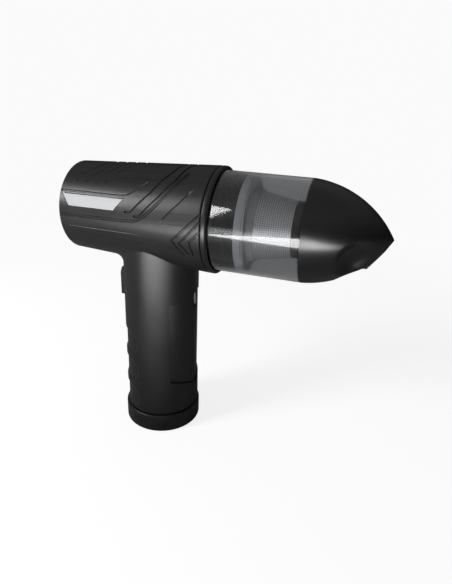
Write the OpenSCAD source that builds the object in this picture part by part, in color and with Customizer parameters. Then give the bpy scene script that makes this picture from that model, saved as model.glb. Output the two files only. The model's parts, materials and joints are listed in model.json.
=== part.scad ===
// Cordless hand-held vacuum and blower: a barrel on an upright handle, a clear dust cup and an ogive nozzle.
// Millimetres, +Z up, the barrel points along +X. The origin is the centre of the handle's base.

/* [Barrel] */
// Height of the barrel's axis above the base
axis_z = 149; // [140:1:160]
// Distance from the handle's axis back to the rear face
barrel_back = 55; // [50:1:60]
// Distance from the handle's axis forward to the front ring
barrel_front = 38.8; // [37:0.2:42]
// Outer radius at the rear face
barrel_rear_r = 27.9; // [27:0.1:30]
// Outer radius at the front ring
barrel_front_r = 32.3; // [32:0.1:34]
// Wall of both shell halves
shell_wall = 2.2; // [1.8:0.1:2.6]
// Depth of the styling grooves in the barrel
groove_depth = 0.7; // [0.3:0.1:1]
// Height of the raised beads on the barrel
bead_height = 0.5; // [0.3:0.1:0.8]

/* [Front ring] */
// Length of the ring that shows in front of the shells
ring_len = 3.4; // [2.8:0.1:5]
// Radial thickness of the ring's lip
ring_lip = 1.5; // [1:0.1:1.7]

/* [Handle] */
// Outer radius at the foot of the handle
handle_r = 25; // [24.5:0.1:26]
// How much narrower the handle is at its top
handle_taper = 0.6; // [0:0.1:1.5]
// Wall of the handle
handle_wall = 2.5; // [2:0.1:3]
// How far the end cap stands out round the handle
cap_lip = 1.1; // [0.8:0.1:2]
// Height of the end cap
cap_h = 12.8; // [11:0.2:15]
// Thickness of the end cap's floor
cap_floor = 2.6; // [2:0.1:3.5]

/* [Grip] */
// Lowest edge of the front panel
panel_bottom = 30.6; // [27:0.2:34]
// Distance from the barrel's axis down to the panel's top corner
panel_drop = 46.3; // [43:0.2:49]
// How far the top and bottom edges slope down their sides
panel_slope = 8; // [5:0.5:10]
// How far the panel lies below the handle's surface
panel_sink = 1; // [0.5:0.1:1.4]
// Half the angle that the panel spans round the front
panel_half_angle = 52.5; // [45:0.5:58]
// Height of the lowest finger recess
grip_first = 23; // [22:0.5:26]
// Spacing of the finger recesses
grip_pitch = 20.8; // [19:0.2:22]
// Height of one finger recess
grip_h = 17; // [14:0.5:18]
// Depth of a finger recess
grip_depth = 0.8; // [0.4:0.1:1.1]

/* [Button] */
// Distance from the barrel's axis down to the button's centre
button_drop = 47.5; // [45:0.5:49]
// Height of the button
button_h = 19.6; // [16:0.2:21]
// Width of the button
button_w = 11; // [9:0.5:12]
// How far the button stands out of the handle
button_proud = 3.8; // [2.5:0.1:4.5]
// How far the button travels
button_travel = 1.5; // [1:0.1:1.8]

/* [Dust cup] */
// How far the cup's side lies inside the ring's
cup_step = 2.3; // [2:0.1:3]
// Wall of the cup
cup_wall = 1.6; // [1.2:0.1:1.8]
// Distance from the handle's axis to the seam between cup and nozzle
seam_x = 93.3; // [91:0.2:97]
// Length of the cup's front collar inside the nozzle
cup_collar = 4; // [3:0.5:5]
// How far the black spigot reaches into the cup from the ring
spigot_len = 22.2; // [21:0.2:24]

/* [Nozzle] */
// Radius of the arc that the nozzle's side follows
ogive_r = 59.56; // [58:0.2:62]
// Distance from the handle's axis to the arc's centre
ogive_x = 89; // [87:0.2:91]
// Wall of the nozzle
nozzle_wall = 1.8; // [1.5:0.1:2]
// Angle of the mouth's plane above the barrel's axis
mouth_tilt = 54.7; // [52:0.5:58]
// Distance from the handle's axis to the middle of the mouth
mouth_x = 133; // [132:0.2:134]
// Depth of the mouth's middle below the barrel's axis
mouth_drop = 9.4; // [9:0.1:10]
// Width of the mouth
mouth_w = 8; // [7:0.2:8.6]
// Length of the mouth along its plane
mouth_len = 14; // [12:0.2:14.4]
// Length of the duct behind the mouth
duct_len = 20; // [17:0.5:22]
// Wall of the duct
duct_wall = 1.3; // [1:0.1:1.5]
// Radius of the hollow under the nozzle
scoop_r = 19.4; // [18:0.2:21]

/* [Filter] */
// Room between the cup's side and the filter cone's base
filter_room = 9; // [8:0.1:11]
// How much narrower the filter cone is at its tip
filter_taper = 4.5; // [3:0.1:6]
// Length of the filter cone
filter_len = 25; // [22:0.5:27]
// Length of the filter's neck in its seat
neck_len = 8; // [6:0.2:9]
// Number of pleats
pleats = 40; // [30:1:48]
// Height of the filter's end cap
filter_cap_h = 5; // [4:0.2:6]

/* [Motor and fan] */
// Outer radius of the motor's can
motor_r = 13.8; // [12.8:0.1:14.2]
// Length of the motor's can
motor_len = 34; // [30:0.5:36]
// Distance from the handle's axis to the motor's front face
motor_front = 16; // [15:0.2:17]
// Radius of the motor's shaft
shaft_r = 1.15; // [1:0.05:1.4]
// Room between the fan housing's side and the impeller
impeller_room = 5.6; // [4:0.1:7]
// Number of impeller blades
blades = 9; // [7:1:11]
// Room between the casing's side and the fan housing's
housing_room = 5.7; // [5.2:0.1:6.5]
// Radius of the fan's inlet
fan_eye_r = 11; // [9:0.2:13]

/* [Outlet] */
// Radius of the blower outlet's bore
outlet_r = 13; // [11:0.2:14]
// Length of the blower outlet's bore
outlet_len = 10; // [8:0.5:12]
// Number of vents round the outlet
vents = 12; // [8:1:14]

/* [Battery] */
// Room between the handle's bore and the ring of cells
cell_room = 2.78; // [2.5:0.02:4]
// Height of the handle and the barrel that the cells leave free
cell_free = 84; // [82:0.5:92]

/* [Screws] */
// Radius of a shell screw's shank
screw_r = 1.25; // [1:0.05:1.5]
// Radius of a shell screw's head
screw_head_r = 2.4; // [2.1:0.1:2.6]

/* [Hidden] */
$fn = 96;

// Clearances
gap = 0.3;                       // between pieces that move past each other
seat = 0.1;                      // between pieces that are seated in each other
run = 0.06;                      // radial clearance of a turning or sliding shaft

// Sizes that follow the driving ones
handle_top_r = handle_r - handle_taper;
cap_r = handle_r + cap_lip;
panel_top = axis_z - panel_drop;
button_z = axis_z - button_drop;
cup_r = barrel_front_r - cup_step;
ogive_drop = ogive_r - cup_r - 0.06;
filter_r = cup_r - filter_room;
filter_tip_r = filter_r - filter_taper;
housing_r = barrel_front_r - housing_room;
impeller_r = housing_r - impeller_room;

// Barrel
rear_x = -barrel_back;
shell_front = barrel_front - 0.4;
rim_round = 0.9;
rebate_r = barrel_front_r - shell_wall - 0.5;
rebate_x = shell_front - 7.5;
barrel_span = shell_front - rear_x;
rib_w = 1.6;
badge_depth = 0.6;
badge_theta = 18.2;

// Front ring and spigot
ring_x = barrel_front;
ring_front = ring_x + ring_len;
ring_web = 1;
spigot_r = cup_r - cup_wall - gap;
spigot_in = spigot_r - 3.1;
spigot_end = ring_x + spigot_len;
spigot_face = 2;
flange_x = rebate_x + 1.5;
flange_w = 2.5;
seal_x = ring_x + 12;
seal_w = 1.8;
seal_r = 0.85;
seal_floor = spigot_r - 1.55;

// Handle
neck_r = handle_r - 1;
cap_gap = 0.6;
handle_foot = cap_h + cap_gap;
handle_in = handle_r - handle_wall;
panel_t = 1.6;
panel_lip = 1.5;
panel_rim = 2;
panel_r = handle_r - panel_sink;
grip_reach = 10;

// Screws: each pair is a place along the barrel and a height
screw_len = 12;
boss_r = 3;
boss_land = 3;
screw_at = [[rear_x + 13, axis_z + 21.5], [rear_x + 13, axis_z - 21.5], [4, axis_z + 23.5], [2, axis_z - 31]];

// Battery
cell_r = (handle_in - cell_room) / (1 + 2 / sqrt(3));
cell_len = axis_z - cell_free;
cell_ring = cell_r * 2 / sqrt(3) + 0.05;
holder_r = handle_in - gap;
holder_t = 2.2;
holder_z = cap_h + 2.4;
link_t = 0.3;
cell_z = holder_z + holder_t + link_t;
cell_top = cell_z + cell_len;
holder_top = cell_top + link_t;
holder_end = holder_top + holder_t;

// Boards, switch and button
board_t = 1.4;
board_w = 16;
board_slot = 1;
rail_wall = 1.5;
switch_board_x = -13;
switch_board_z = holder_end + 6;
switch_board_h = 22;
charge_board_x = 15;
charge_board_z = holder_end + 1;
charge_board_h = 20;
port_w = 3.2;
port_h = 9;
port_z = panel_top - 8;
port_rim = 0.5;
slot_w = port_w + 2 * 0.6;
slot_h = port_h + 2 * 1;
button_face = -(handle_top_r + button_proud);
button_crown = 30;
flange_t = 1.2;
flange_lap = 1.7;
flange_face = -sqrt(pow(handle_in, 2) - pow(button_w / 2 + flange_lap, 2)) + gap;
flange_in = flange_face + flange_t;
plunger_r = 1.6;
switch_w = 6;
switch_h = 7;
switch_face = flange_in + button_travel + gap;
plunger_end = switch_face + 1.2;
lead_r = 0.8;

// Motor and fan
motor_back = motor_front - motor_len;
can_wall = 1;
bush_r = 3.3;
bush_len = 2.6;
end_cap_t = 3;
magnet_t = 1.5;
magnet_len = 18;
armature_r = motor_r - can_wall - magnet_t - 0.8;
armature_len = 16;
armature_x = motor_back + 9;
fan_back = 20;
fan_plate = 1.2;
fan_front = flange_x - gap;
housing_wall = 1.4;
hub_r = 4;
impeller_x = fan_back + 2.5;
impeller_t = 1;
blade_h = fan_front - fan_plate - impeller_x - impeller_t - 0.9;
blade_t = 1;
blade_lean = 38;
diffuser_x = 12;
diffuser_web = motor_front + seat;
diffuser_t = 1.5;
motor_screw_ring = 8;
motor_screw_r = 1.2;
cradle_x = motor_back + 1;
cradle_w = 6;

// Outlet
outlet_face = rear_x + 0.5;
outlet_plate = 4;
outlet_plate_r = barrel_rear_r - shell_wall - seat;
outlet_wall = 1.8;
grille_w = 2;
grille_r = outlet_r + 0.3;
grille_ring_w = 1.6;
grille_mid_r = outlet_r * 0.62;
grille_hub_r = 2.6;
grille_bar = 1.2;
grille_sink = 0.3;
grille_bars = 6;
vent_w = 2.4;

// Filter
filter_x = spigot_end + 0.2;
filter_end = filter_x + filter_len;
neck_r_out = 19.5;
neck_in = neck_r_out - 1.6;
skirt_len = 5;
filter_flange = 1.5;
mesh_t = 0.25;
mesh_start = filter_x + filter_flange + 0.05;
mesh_base_r = filter_r - 0.5;
mesh_tip_r = filter_tip_r - 0.1;
pleat_depth = 2.3;
pleat_wall = 0.8;

// Dust cup and nozzle
cup_x = ring_x + ring_web + gap;
cup_in = cup_r - cup_wall;
cup_front_r = cup_r - 0.15;
collar_r = cup_in + 0.1;
collar_in = collar_r - 1.6;
duct_w = mouth_w + 2 * duct_wall;
duct_h = mouth_len + 2 * duct_wall;
lip_r = 17.1;
lip_w = 12;
scoop_x = 127.7;
scoop_drop = 36.4;

// Flap valve, in the mouth's own frame: x up along the mouth, y across, z inwards along the duct
seat_t = 1.5;
seat_lap = 5;
seat_w = duct_w + 2 * 1.3;
seat_h = duct_h + 2 * 1.3;
flap_t = 0.8;
flap_w = duct_w;
flap_h = duct_h;
flap_z = duct_len + seat_t + gap;
flap_pin_r = 0.75;
flap_barrel_r = 1.5;
hinge_x = duct_h / 2 + flap_barrel_r + 0.4;
hinge_z = duct_len + seat_t + flap_barrel_r + gap;
ear_w = 1.4;
ear_gap = 0.2;

// The barrel's outer radius at a place along it
function barrel_r(x) =
    barrel_rear_r + (barrel_front_r - barrel_rear_r) * (x - rear_x) / barrel_span;

// The outer radius of the filter's wire sleeve at a place along it
function mesh_r(x) =
    mesh_base_r + (mesh_tip_r - mesh_base_r) * (x - mesh_start) / (filter_end - mesh_start);

// ---- helpers ----

// Turns a profile of [radius, place along X] points round the barrel's axis
module spin_x(points) {
    translate([0, 0, axis_z])
        rotate([0, 90, 0])
            rotate_extrude()
                polygon(points);
}

// A tube round the barrel's axis
module tube_x(x0, x1, r_out, r_in) {
    spin_x([[r_in, x0], [r_out, x0], [r_out, x1], [r_in, x1]]);
}

// A disc or rod round the barrel's axis
module rod_x(x0, x1, r) {
    translate([x0, 0, axis_z])
        rotate([0, 90, 0])
            cylinder(r = r, h = x1 - x0);
}

// A box between two corners
module block(a, b) {
    translate(a)
        cube(b - a);
}

// A slot with round ends: length along X, width along Y
module stadium(length, width, height) {
    straight = length - width;
    translate([-straight / 2, -width / 2, 0])
        cube([straight, width, height]);
    for (side = [-1, 1])
        translate([side * straight / 2, 0, 0])
            cylinder(d = width, h = height);
}

// Children stand on the barrel's side: X along the barrel, Y up round it, Z outwards
module on_side(theta) {
    translate([0, 0, axis_z])
        rotate([90 - theta, 0, 0])
            children();
}

// Children stand on the mouth: X up along it, Z inwards along the duct
module at_mouth() {
    translate([mouth_x, 0, axis_z - mouth_drop])
        rotate([0, -mouth_tilt, 0])
            children();
}

// A thin slab from the axis outwards that follows a line between two places [x, angle] on the barrel
module line_slab(a, b, width) {
    middle = (a[1] + b[1]) / 2;
    r = barrel_r((a[0] + b[0]) / 2);
    a_y = r * sin(a[1] - middle);
    b_y = r * sin(b[1] - middle);
    run_len = norm([b[0] - a[0], b_y - a_y]);
    on_side(middle)
        translate([a[0], a_y, r - 8])
            rotate([0, 0, atan2(b_y - a_y, b[0] - a[0])])
                translate([-width / 2, -width / 2, 0])
                    cube([run_len + width, width, 14]);
}

// Slabs along a chain of places on the barrel
module chain_slab(places, width) {
    for (i = [0 : len(places) - 2])
        line_slab(places[i], places[i + 1], width);
}

// A wire through a list of points
module wire(points, r) {
    for (i = [0 : len(points) - 2]) {
        step = points[i + 1] - points[i];
        translate(points[i])
            rotate([0, acos(step[2] / norm(step)), atan2(step[1], step[0])])
                cylinder(r = r, h = norm(step), $fn = 24);
    }
    if (len(points) > 2)
        for (i = [1 : len(points) - 2])
            translate(points[i])
                sphere(r = r * 1.06, $fn = 24);
}

// ---- shells ----

// The barrel's solid, grown or shrunk all over
module barrel_solid(grow = 0) {
    spin_x([[0, rear_x], [barrel_rear_r - rim_round + grow, rear_x], [barrel_rear_r + grow, rear_x + rim_round],
        [barrel_front_r + grow, shell_front], [0, shell_front]]);
}

// The barrel's skin between two depths
module barrel_band(inner, outer) {
    difference() {
        barrel_solid(outer);
        spin_x([[0, rear_x - 1], [barrel_rear_r + inner, rear_x - 1],
            [barrel_front_r + inner, shell_front + 1], [0, shell_front + 1]]);
    }
}

// The handle's solid, from its neck in the end cap up into the barrel
module handle_solid() {
    translate([0, 0, handle_foot])
        cylinder(r1 = handle_r, r2 = handle_top_r, h = axis_z - 12 - handle_foot);
    translate([0, 0, cap_floor + gap])
        cylinder(r = neck_r, h = handle_foot - cap_floor);
}

// The hollow inside the barrel and the handle
module shell_cavity() {
    spin_x([[0, rear_x - 1], [barrel_rear_r - shell_wall, rear_x - 1],
        [barrel_rear_r - shell_wall, rear_x + outlet_plate + 2], [barrel_r(rebate_x) - shell_wall, rebate_x],
        [rebate_r, rebate_x], [rebate_r, shell_front + 1], [0, shell_front + 1]]);
    cylinder(r = handle_in, h = axis_z - 10);
}

// Rings inside the shells that hold the fan housing and the motor's cradle
module shell_ribs() {
    intersection() {
        union() {
            for (x = [diffuser_x + 1, fan_back + 5])
                tube_x(x, x + rib_w, barrel_front_r - 1, housing_r + seat);
        }
        barrel_solid(-0.5);
    }
}

// A rail that holds one edge of a board, from the edge out to a given radius
module board_rail(x, z0, z1, reach) {
    intersection() {
        difference() {
            block([x - rail_wall, -reach, z0], [x + board_t + rail_wall, -board_w / 2 + board_slot, z1]);
            block([x - seat, -board_w / 2 - seat, z0 - 1], [x + board_t + seat, 0, z1 + 1]);
        }
        cylinder(r = reach, h = axis_z);
    }
}

// The front panel's window: a band round the front with pointed top and bottom edges
module panel_outline(grow, r_in, r_out) {
    top = panel_top + grow;
    bottom = panel_bottom - grow;
    reach = handle_r * sin(panel_half_angle) + grow;
    intersection() {
        difference() {
            cylinder(r = r_out, h = axis_z);
            translate([0, 0, -1])
                cylinder(r = r_in, h = axis_z + 2);
        }
        rotate([90, 0, 90])
            linear_extrude(height = 40)
                polygon([[-reach, bottom + panel_slope], [0, bottom], [reach, bottom + panel_slope],
                    [reach, top - panel_slope], [0, top], [-reach, top - panel_slope]]);
    }
}

// The styling grooves of one side, as places [x, angle] on the barrel
upper_line = [[rear_x + 0.4, 29.5], [-12.2, 28.4], [-7.8, 29.9], [-4.1, 35.8], [2, 46]];
bead_line = [[rear_x + 1, -0.3], [-6.2, 1.2], [-0.1, 3.9], [4.9, 12.3], [12.7, 29.9], [19.5, 50.9], [25, 75]];
low_line = [[rear_x + 1, -15.2], [3.7, -12.8]];
cross_lines = [
    [[-4.1, 14.1], [5.8, 34.3], [14.2, 62.6], [18, 90]],
    [[1.2, 10.3], [11.4, 30.8], [19, 52.5], [24, 78]],
    [[7.8, 14.8], [15.7, 31], [22.1, 48.2]],
    [[13.9, 2.3], [17.3, 11.4], [25.3, 26.8], [32, 43.5]]];
chevrons = [
    [[36.8, 17], [21.5, -12.1], [28, -28.9]],
    [[36.8, 9], [26, -14], [31.2, -26.1]],
    [[36.8, 0], [32.3, -11.4], [34, -26.5]]];
top_streaks = [for (i = [0 : 3]) [[rear_x + 9 + 6.8 * i, 40.5], [rear_x + 25 + 6.8 * i, 84]]];

// Everything that is cut into one side of the barrel's skin
module side_grooves() {
    intersection() {
        union() {
            chain_slab(upper_line, 0.7);
            for (line = cross_lines)
                chain_slab(line, 0.9);
            for (line = chevrons)
                chain_slab(line, 0.8);
            for (line = top_streaks)
                chain_slab(line, 1.6);
        }
        barrel_band(-groove_depth, 1);
    }
}

// The raised beads of one side
module side_beads() {
    intersection() {
        union() {
            chain_slab(bead_line, 1.8);
            chain_slab(low_line, 0.9);
        }
        barrel_band(-0.5, bead_height);
    }
}

// Finger recesses round the back of the handle
module finger_recesses() {
    intersection() {
        difference() {
            cylinder(r = handle_r + 1, h = axis_z);
            cylinder(r1 = handle_r - grip_depth, r2 = handle_top_r - grip_depth, h = axis_z);
        }
        for (i = [0 : 2])
            translate([-handle_r + grip_reach, 0, grip_first + i * grip_pitch])
                rotate([90, 0, 0]) {
                    cylinder(d = grip_h, h = 2 * handle_r, center = true);
                    translate([-grip_reach - 2, -grip_h / 2, -handle_r])
                        cube([grip_reach + 2, grip_h, 2 * handle_r]);
                }
    }
}

// One half of the casing, on the -Y side, with all that both halves share
module half_shell() {
    intersection() {
        block([rear_x - 5, -60, 0], [shell_front + 5, 0, axis_z + 60]);
        difference() {
            union() {
                difference() {
                    union() {
                        barrel_solid();
                        handle_solid();
                    }
                    shell_cavity();
                }
                shell_ribs();
                side_beads();
                board_rail(switch_board_x, switch_board_z, switch_board_z + switch_board_h, handle_in + 0.5);
                intersection() {
                    for (place = screw_at)
                        translate([place[0], 0, place[1]])
                            rotate([90, 0, 0])
                                cylinder(r = boss_r, h = 60);
                    union() {
                        barrel_solid(-0.4);
                        handle_solid();
                    }
                }
            }
            side_grooves();
            finger_recesses();
            button_window();
            panel_outline(0, handle_in - 1, handle_r + 1);
        }
    }
}

// The opening for the button in the back of the handle
module button_window() {
    block([-handle_r - 5, -button_w / 2 - gap, button_z - button_h / 2 - gap],
        [-handle_in + 3, button_w / 2 + gap, button_z + button_h / 2 + gap]);
}

// The badge's place on the side: a tapered plate that follows the barrel
module badge_prism(grow) {
    half_h = 3.6 + grow;
    on_side(badge_theta)
        translate([0, 0, barrel_rear_r - 6])
            linear_extrude(height = 20)
                polygon([[rear_x + 2.2 - grow, half_h], [-10.7 + grow * 1.6, half_h],
                    [-16.6 + grow, -half_h], [rear_x + 7.3 - grow, -half_h]]);
}

module right_shell() {
    color([0.10, 0.10, 0.11])
        difference() {
            half_shell();
            for (place = screw_at)
                translate([place[0], 1, place[1]])
                    rotate([90, 0, 0])
                        cylinder(r = screw_r, h = screw_len - boss_land + 2);
            intersection() {
                badge_prism(seat);
                barrel_band(-badge_depth, 1);
            }
        }
}

module left_shell() {
    color([0.10, 0.10, 0.11])
        difference() {
            mirror([0, 1, 0])
                half_shell();
            for (place = screw_at)
                translate([place[0], 0, place[1]])
                    rotate([-90, 0, 0]) {
                        translate([0, 0, -1])
                            cylinder(r = screw_r + 0.25, h = 6);
                        translate([0, 0, boss_land])
                            cylinder(r = screw_head_r + 0.2, h = 60);
                    }
        }
}

module front_ring() {
    color([0.09, 0.09, 0.10])
        spin_x([[cup_in - seat, flange_x + flange_w], [rebate_r - seat, flange_x + flange_w],
            [rebate_r - seat, ring_x], [barrel_front_r - 0.3, ring_x], [barrel_front_r, ring_x + 0.4],
            [barrel_front_r, ring_front - 1], [barrel_front_r - 1, ring_front],
            [barrel_front_r - ring_lip, ring_front], [barrel_front_r - ring_lip, ring_x + ring_web],
            [cup_in - seat, ring_x + ring_web]]);
}

module rear_cap() {
    vent_in = outlet_r + outlet_wall + 1.8;
    vent_out = outlet_plate_r - 2.2;
    color([0.09, 0.09, 0.10])
        difference() {
            union() {
                rod_x(outlet_face, outlet_face + outlet_plate, outlet_plate_r);
                rod_x(outlet_face, outlet_face + outlet_len + grille_w, outlet_r + outlet_wall);
            }
            rod_x(outlet_face - 1, outlet_face + outlet_len + grille_w + 1, outlet_r);
            rod_x(outlet_face + outlet_len, outlet_face + outlet_len + grille_w + 1, grille_r + seat);
            for (i = [0 : vents - 1])
                translate([outlet_face - 1, 0, axis_z])
                    rotate([i * 360 / vents, 0, 0])
                        translate([0, -vent_w / 2, vent_in])
                            cube([outlet_plate + 2, vent_w, vent_out - vent_in]);
            for (place = screw_at)
                translate([place[0], 0, place[1]])
                    rotate([90, 0, 0])
                        cylinder(r = boss_r + gap, h = 60, center = true);
        }
}

module outlet_grille() {
    x0 = outlet_face + outlet_len;
    color([0.12, 0.12, 0.13])
        union() {
            tube_x(x0, x0 + grille_w, grille_r, grille_r - grille_ring_w);
            tube_x(x0, x0 + grille_w, grille_mid_r, grille_mid_r - grille_bar);
            rod_x(x0, x0 + grille_w, grille_hub_r);
            for (i = [0 : grille_bars - 1])
                translate([x0 + grille_sink, 0, axis_z])
                    rotate([i * 360 / grille_bars, 0, 0])
                        translate([0, -grille_bar / 2, grille_hub_r / 2])
                            cube([grille_w - 2 * grille_sink, grille_bar,
                                grille_r - grille_ring_w / 2 - grille_hub_r / 2]);
        }
}

module badge_plate() {
    color([0.75, 0.76, 0.78])
        intersection() {
            badge_prism(0);
            barrel_band(-badge_depth + 0.05, 0.15);
        }
}

module grip_panel() {
    color([0.08, 0.08, 0.09])
        difference() {
            union() {
                panel_outline(-0.15, panel_r - panel_t - seat, panel_r);
                panel_outline(panel_rim, handle_in - seat - panel_lip, handle_in - seat);
                for (side = [0, 1])
                    mirror([0, side, 0])
                        difference() {
                            intersection() {
                                block([charge_board_x - rail_wall, -board_w / 2 - rail_wall, charge_board_z + 2],
                                    [handle_r, -board_w / 2 + board_slot, panel_top - 2]);
                                cylinder(r = handle_in - seat - panel_lip + 0.2, h = axis_z);
                            }
                            block([charge_board_x - seat, -board_w / 2 - seat, 0],
                                [charge_board_x + board_t + seat, 0, axis_z]);
                        }
            }
            block([0, -slot_w / 2, port_z - slot_h / 2], [handle_r + 5, slot_w / 2, port_z + slot_h / 2]);
        }
}

module end_cap() {
    color([0.11, 0.11, 0.12])
        rotate_extrude()
            polygon([[0, 0], [cap_r - 0.8, 0], [cap_r, 0.8], [cap_r, cap_h - 0.5], [cap_r - 0.5, cap_h],
                [neck_r + seat, cap_h], [neck_r + seat, cap_floor], [0, cap_floor]]);
}

module shell_screws() {
    color([0.55, 0.56, 0.58])
        for (place = screw_at)
            translate([place[0], 0, place[1]])
                rotate([-90, 0, 0])
                    difference() {
                        union() {
                            translate([0, 0, -screw_len + boss_land])
                                cylinder(r = screw_r - 0.02, h = screw_len);
                            translate([0, 0, boss_land])
                                cylinder(r = screw_head_r, h = 1.6);
                        }
                        for (turn = [0, 90])
                            rotate([0, 0, turn])
                                translate([-1.4, -0.3, boss_land + 0.8])
                                    cube([2.8, 0.6, 2]);
                    }
}

// ---- button, boards and leads ----

module power_button() {
    bottom = button_z - button_h / 2;
    top = button_z + button_h / 2;
    color([0.10, 0.10, 0.11])
        union() {
            intersection() {
                translate([0, button_w / 2, 0])
                    rotate([90, 0, 0])
                        linear_extrude(height = button_w)
                            polygon([[flange_in, bottom], [button_face + 0.5, bottom],
                                [button_face, bottom + 0.5], [button_face, top - 6.2],
                                [button_face + 1.5, top - 0.3], [button_face + 1.9, top], [flange_in, top]]);
                translate([button_face + button_crown, 0, 0])
                    cylinder(r = button_crown, h = axis_z);
            }
            block([flange_face, -button_w / 2 - flange_lap, bottom - flange_lap],
                [flange_in, button_w / 2 + flange_lap, top + flange_lap]);
        }
}

module switch_plunger() {
    color([0.85, 0.85, 0.85])
        translate([flange_in, 0, button_z])
            rotate([0, 90, 0])
                cylinder(r = plunger_r, h = plunger_end - flange_in);
}

module switch_body() {
    color([0.2, 0.2, 0.22])
        difference() {
            block([switch_face, -switch_w / 2, button_z - switch_h / 2],
                [switch_board_x, switch_w / 2, button_z + switch_h / 2]);
            translate([switch_face - 1, 0, button_z])
                rotate([0, 90, 0])
                    cylinder(r = plunger_r + run, h = plunger_end + button_travel + gap - switch_face + 1);
        }
}

module switch_board() {
    color([0.05, 0.35, 0.18])
        block([switch_board_x, -board_w / 2, switch_board_z],
            [switch_board_x + board_t, board_w / 2, switch_board_z + switch_board_h]);
}

module charge_board() {
    color([0.05, 0.35, 0.18])
        union() {
            block([charge_board_x, -board_w / 2, charge_board_z],
                [charge_board_x + board_t, board_w / 2, charge_board_z + charge_board_h]);
            block([charge_board_x - 1.2, -3, charge_board_z + 2], [charge_board_x, 3, charge_board_z + 8]);
        }
}

module charge_port() {
    port_front = panel_r - port_rim;
    port_back = charge_board_x + board_t;
    color([0.7, 0.71, 0.73])
        difference() {
            translate([port_back, 0, port_z])
                rotate([0, 90, 0])
                    stadium(port_h, port_w, port_front - port_back);
            translate([port_back + 1, 0, port_z])
                rotate([0, 90, 0])
                    stadium(port_h - 0.7, port_w - 0.7, port_front);
        }
}

module power_leads() {
    board_mid = switch_board_x + board_t / 2;
    cross_z = switch_board_z + 4;
    color([0.75, 0.1, 0.08])
        for (side = [-1, 1]) {
            wire([[board_mid, side * 4, holder_end], [board_mid, side * 4, switch_board_z]], lead_r);
            wire([[switch_board_x + board_t, side * 6, cross_z], [charge_board_x, side * 6, cross_z]], lead_r);
        }
}

module motor_leads() {
    board_mid = switch_board_x + board_t / 2;
    top = switch_board_z + switch_board_h;
    lead_x = motor_back - end_cap_t - 1.4;
    color([0.75, 0.1, 0.08])
        for (side = [-1, 1])
            wire([[board_mid, side * 5, top], [board_mid, side * 5, top + 5],
                [lead_x, side * 5, axis_z - motor_r - 2], [lead_x, side * 5, axis_z - 5]], lead_r);
}

// ---- battery ----

module battery_cells() {
    color([0.15, 0.45, 0.6])
        for (i = [0 : 2])
            rotate([0, 0, i * 120])
                translate([cell_ring, 0, cell_z])
                    cylinder(r = cell_r, h = cell_len);
}

module battery_holder() {
    color([0.16, 0.16, 0.17])
        union() {
            translate([0, 0, holder_z])
                cylinder(r = holder_r, h = holder_t);
            translate([0, 0, holder_top])
                cylinder(r = handle_in - panel_lip - seat - gap, h = holder_t);
            for (i = [0 : 2])
                rotate([0, 0, 60 + i * 120])
                    translate([cell_ring * 1.5, -1.5, holder_z])
                        cube([3, 3, holder_end - holder_z]);
        }
}

module cell_links() {
    color([0.72, 0.72, 0.7])
        for (z = [cell_z - link_t, cell_top])
            for (i = z > cell_z ? [0, 1] : [1, 2])
                rotate([0, 0, i * 120 + 60])
                    translate([cell_ring * 0.5 - 2.5, -cell_r - 3, z])
                        cube([5, 2 * cell_r + 6, link_t]);
}

// ---- motor and fan ----

module motor_can() {
    color([0.6, 0.61, 0.63])
        difference() {
            rod_x(motor_back, motor_front, motor_r);
            rod_x(motor_back - 1, motor_front - can_wall, motor_r - can_wall);
            rod_x(motor_front - 5, motor_front + 1, bush_r + 0.02);
            for (side = [-1, 1])
                translate([0, side * motor_screw_ring, 0])
                    rod_x(motor_front - 5, motor_front + 1, motor_screw_r);
        }
}

module motor_end_cap() {
    color([0.85, 0.84, 0.78])
        difference() {
            union() {
                rod_x(motor_back - end_cap_t, motor_back, motor_r - 0.5);
                rod_x(motor_back, motor_back + 2, motor_r - can_wall - seat);
                for (side = [-1, 1])
                    block([motor_back - end_cap_t - 2, side * 5 - 1.3, axis_z - 5],
                        [motor_back - end_cap_t, side * 5 + 1.3, axis_z - 1]);
            }
            rod_x(motor_back - end_cap_t - 1, motor_back - end_cap_t + bush_len, bush_r + 0.02);
            rod_x(motor_back - end_cap_t - 1, motor_back + 3, shaft_r + 0.5);
        }
}

module motor_magnets() {
    color([0.25, 0.24, 0.24])
        for (turn = [-60, 120])
            translate([armature_x - 1, 0, axis_z])
                rotate([0, 90, 0])
                    rotate([0, 0, turn])
                        rotate_extrude(angle = 120)
                            translate([motor_r - can_wall - magnet_t - 0.02, 0])
                                square([magnet_t, magnet_len]);
}

module motor_bearings() {
    color([0.7, 0.55, 0.3]) {
        tube_x(motor_front - bush_len, motor_front, bush_r, shaft_r + run);
        tube_x(motor_back - end_cap_t, motor_back - end_cap_t + bush_len - 0.1, bush_r, shaft_r + run);
    }
}

module motor_screws() {
    color([0.55, 0.56, 0.58])
        for (side = [-1, 1])
            translate([0, side * motor_screw_ring, 0])
                union() {
                    rod_x(motor_front - 3, diffuser_web + diffuser_t, motor_screw_r - 0.02);
                    rod_x(diffuser_web + diffuser_t, diffuser_web + diffuser_t + 1.4, 2.2);
                }
}

module motor_cradle() {
    reach = barrel_r(cradle_x) - shell_wall - gap;
    color([0.2, 0.2, 0.21])
        difference() {
            union() {
                tube_x(cradle_x, cradle_x + cradle_w, motor_r + 2.2, motor_r + seat);
                for (i = [0 : 2])
                    translate([cradle_x, 0, axis_z])
                        rotate([i * 120, 0, 0])
                            translate([0, -2, motor_r + 1])
                                cube([cradle_w, 4, reach - motor_r - 1]);
            }
            difference() {
                rod_x(cradle_x - 1, cradle_x + cradle_w + 1, reach + 10);
                rod_x(cradle_x - 1, cradle_x + cradle_w + 1, reach);
            }
        }
}

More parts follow.
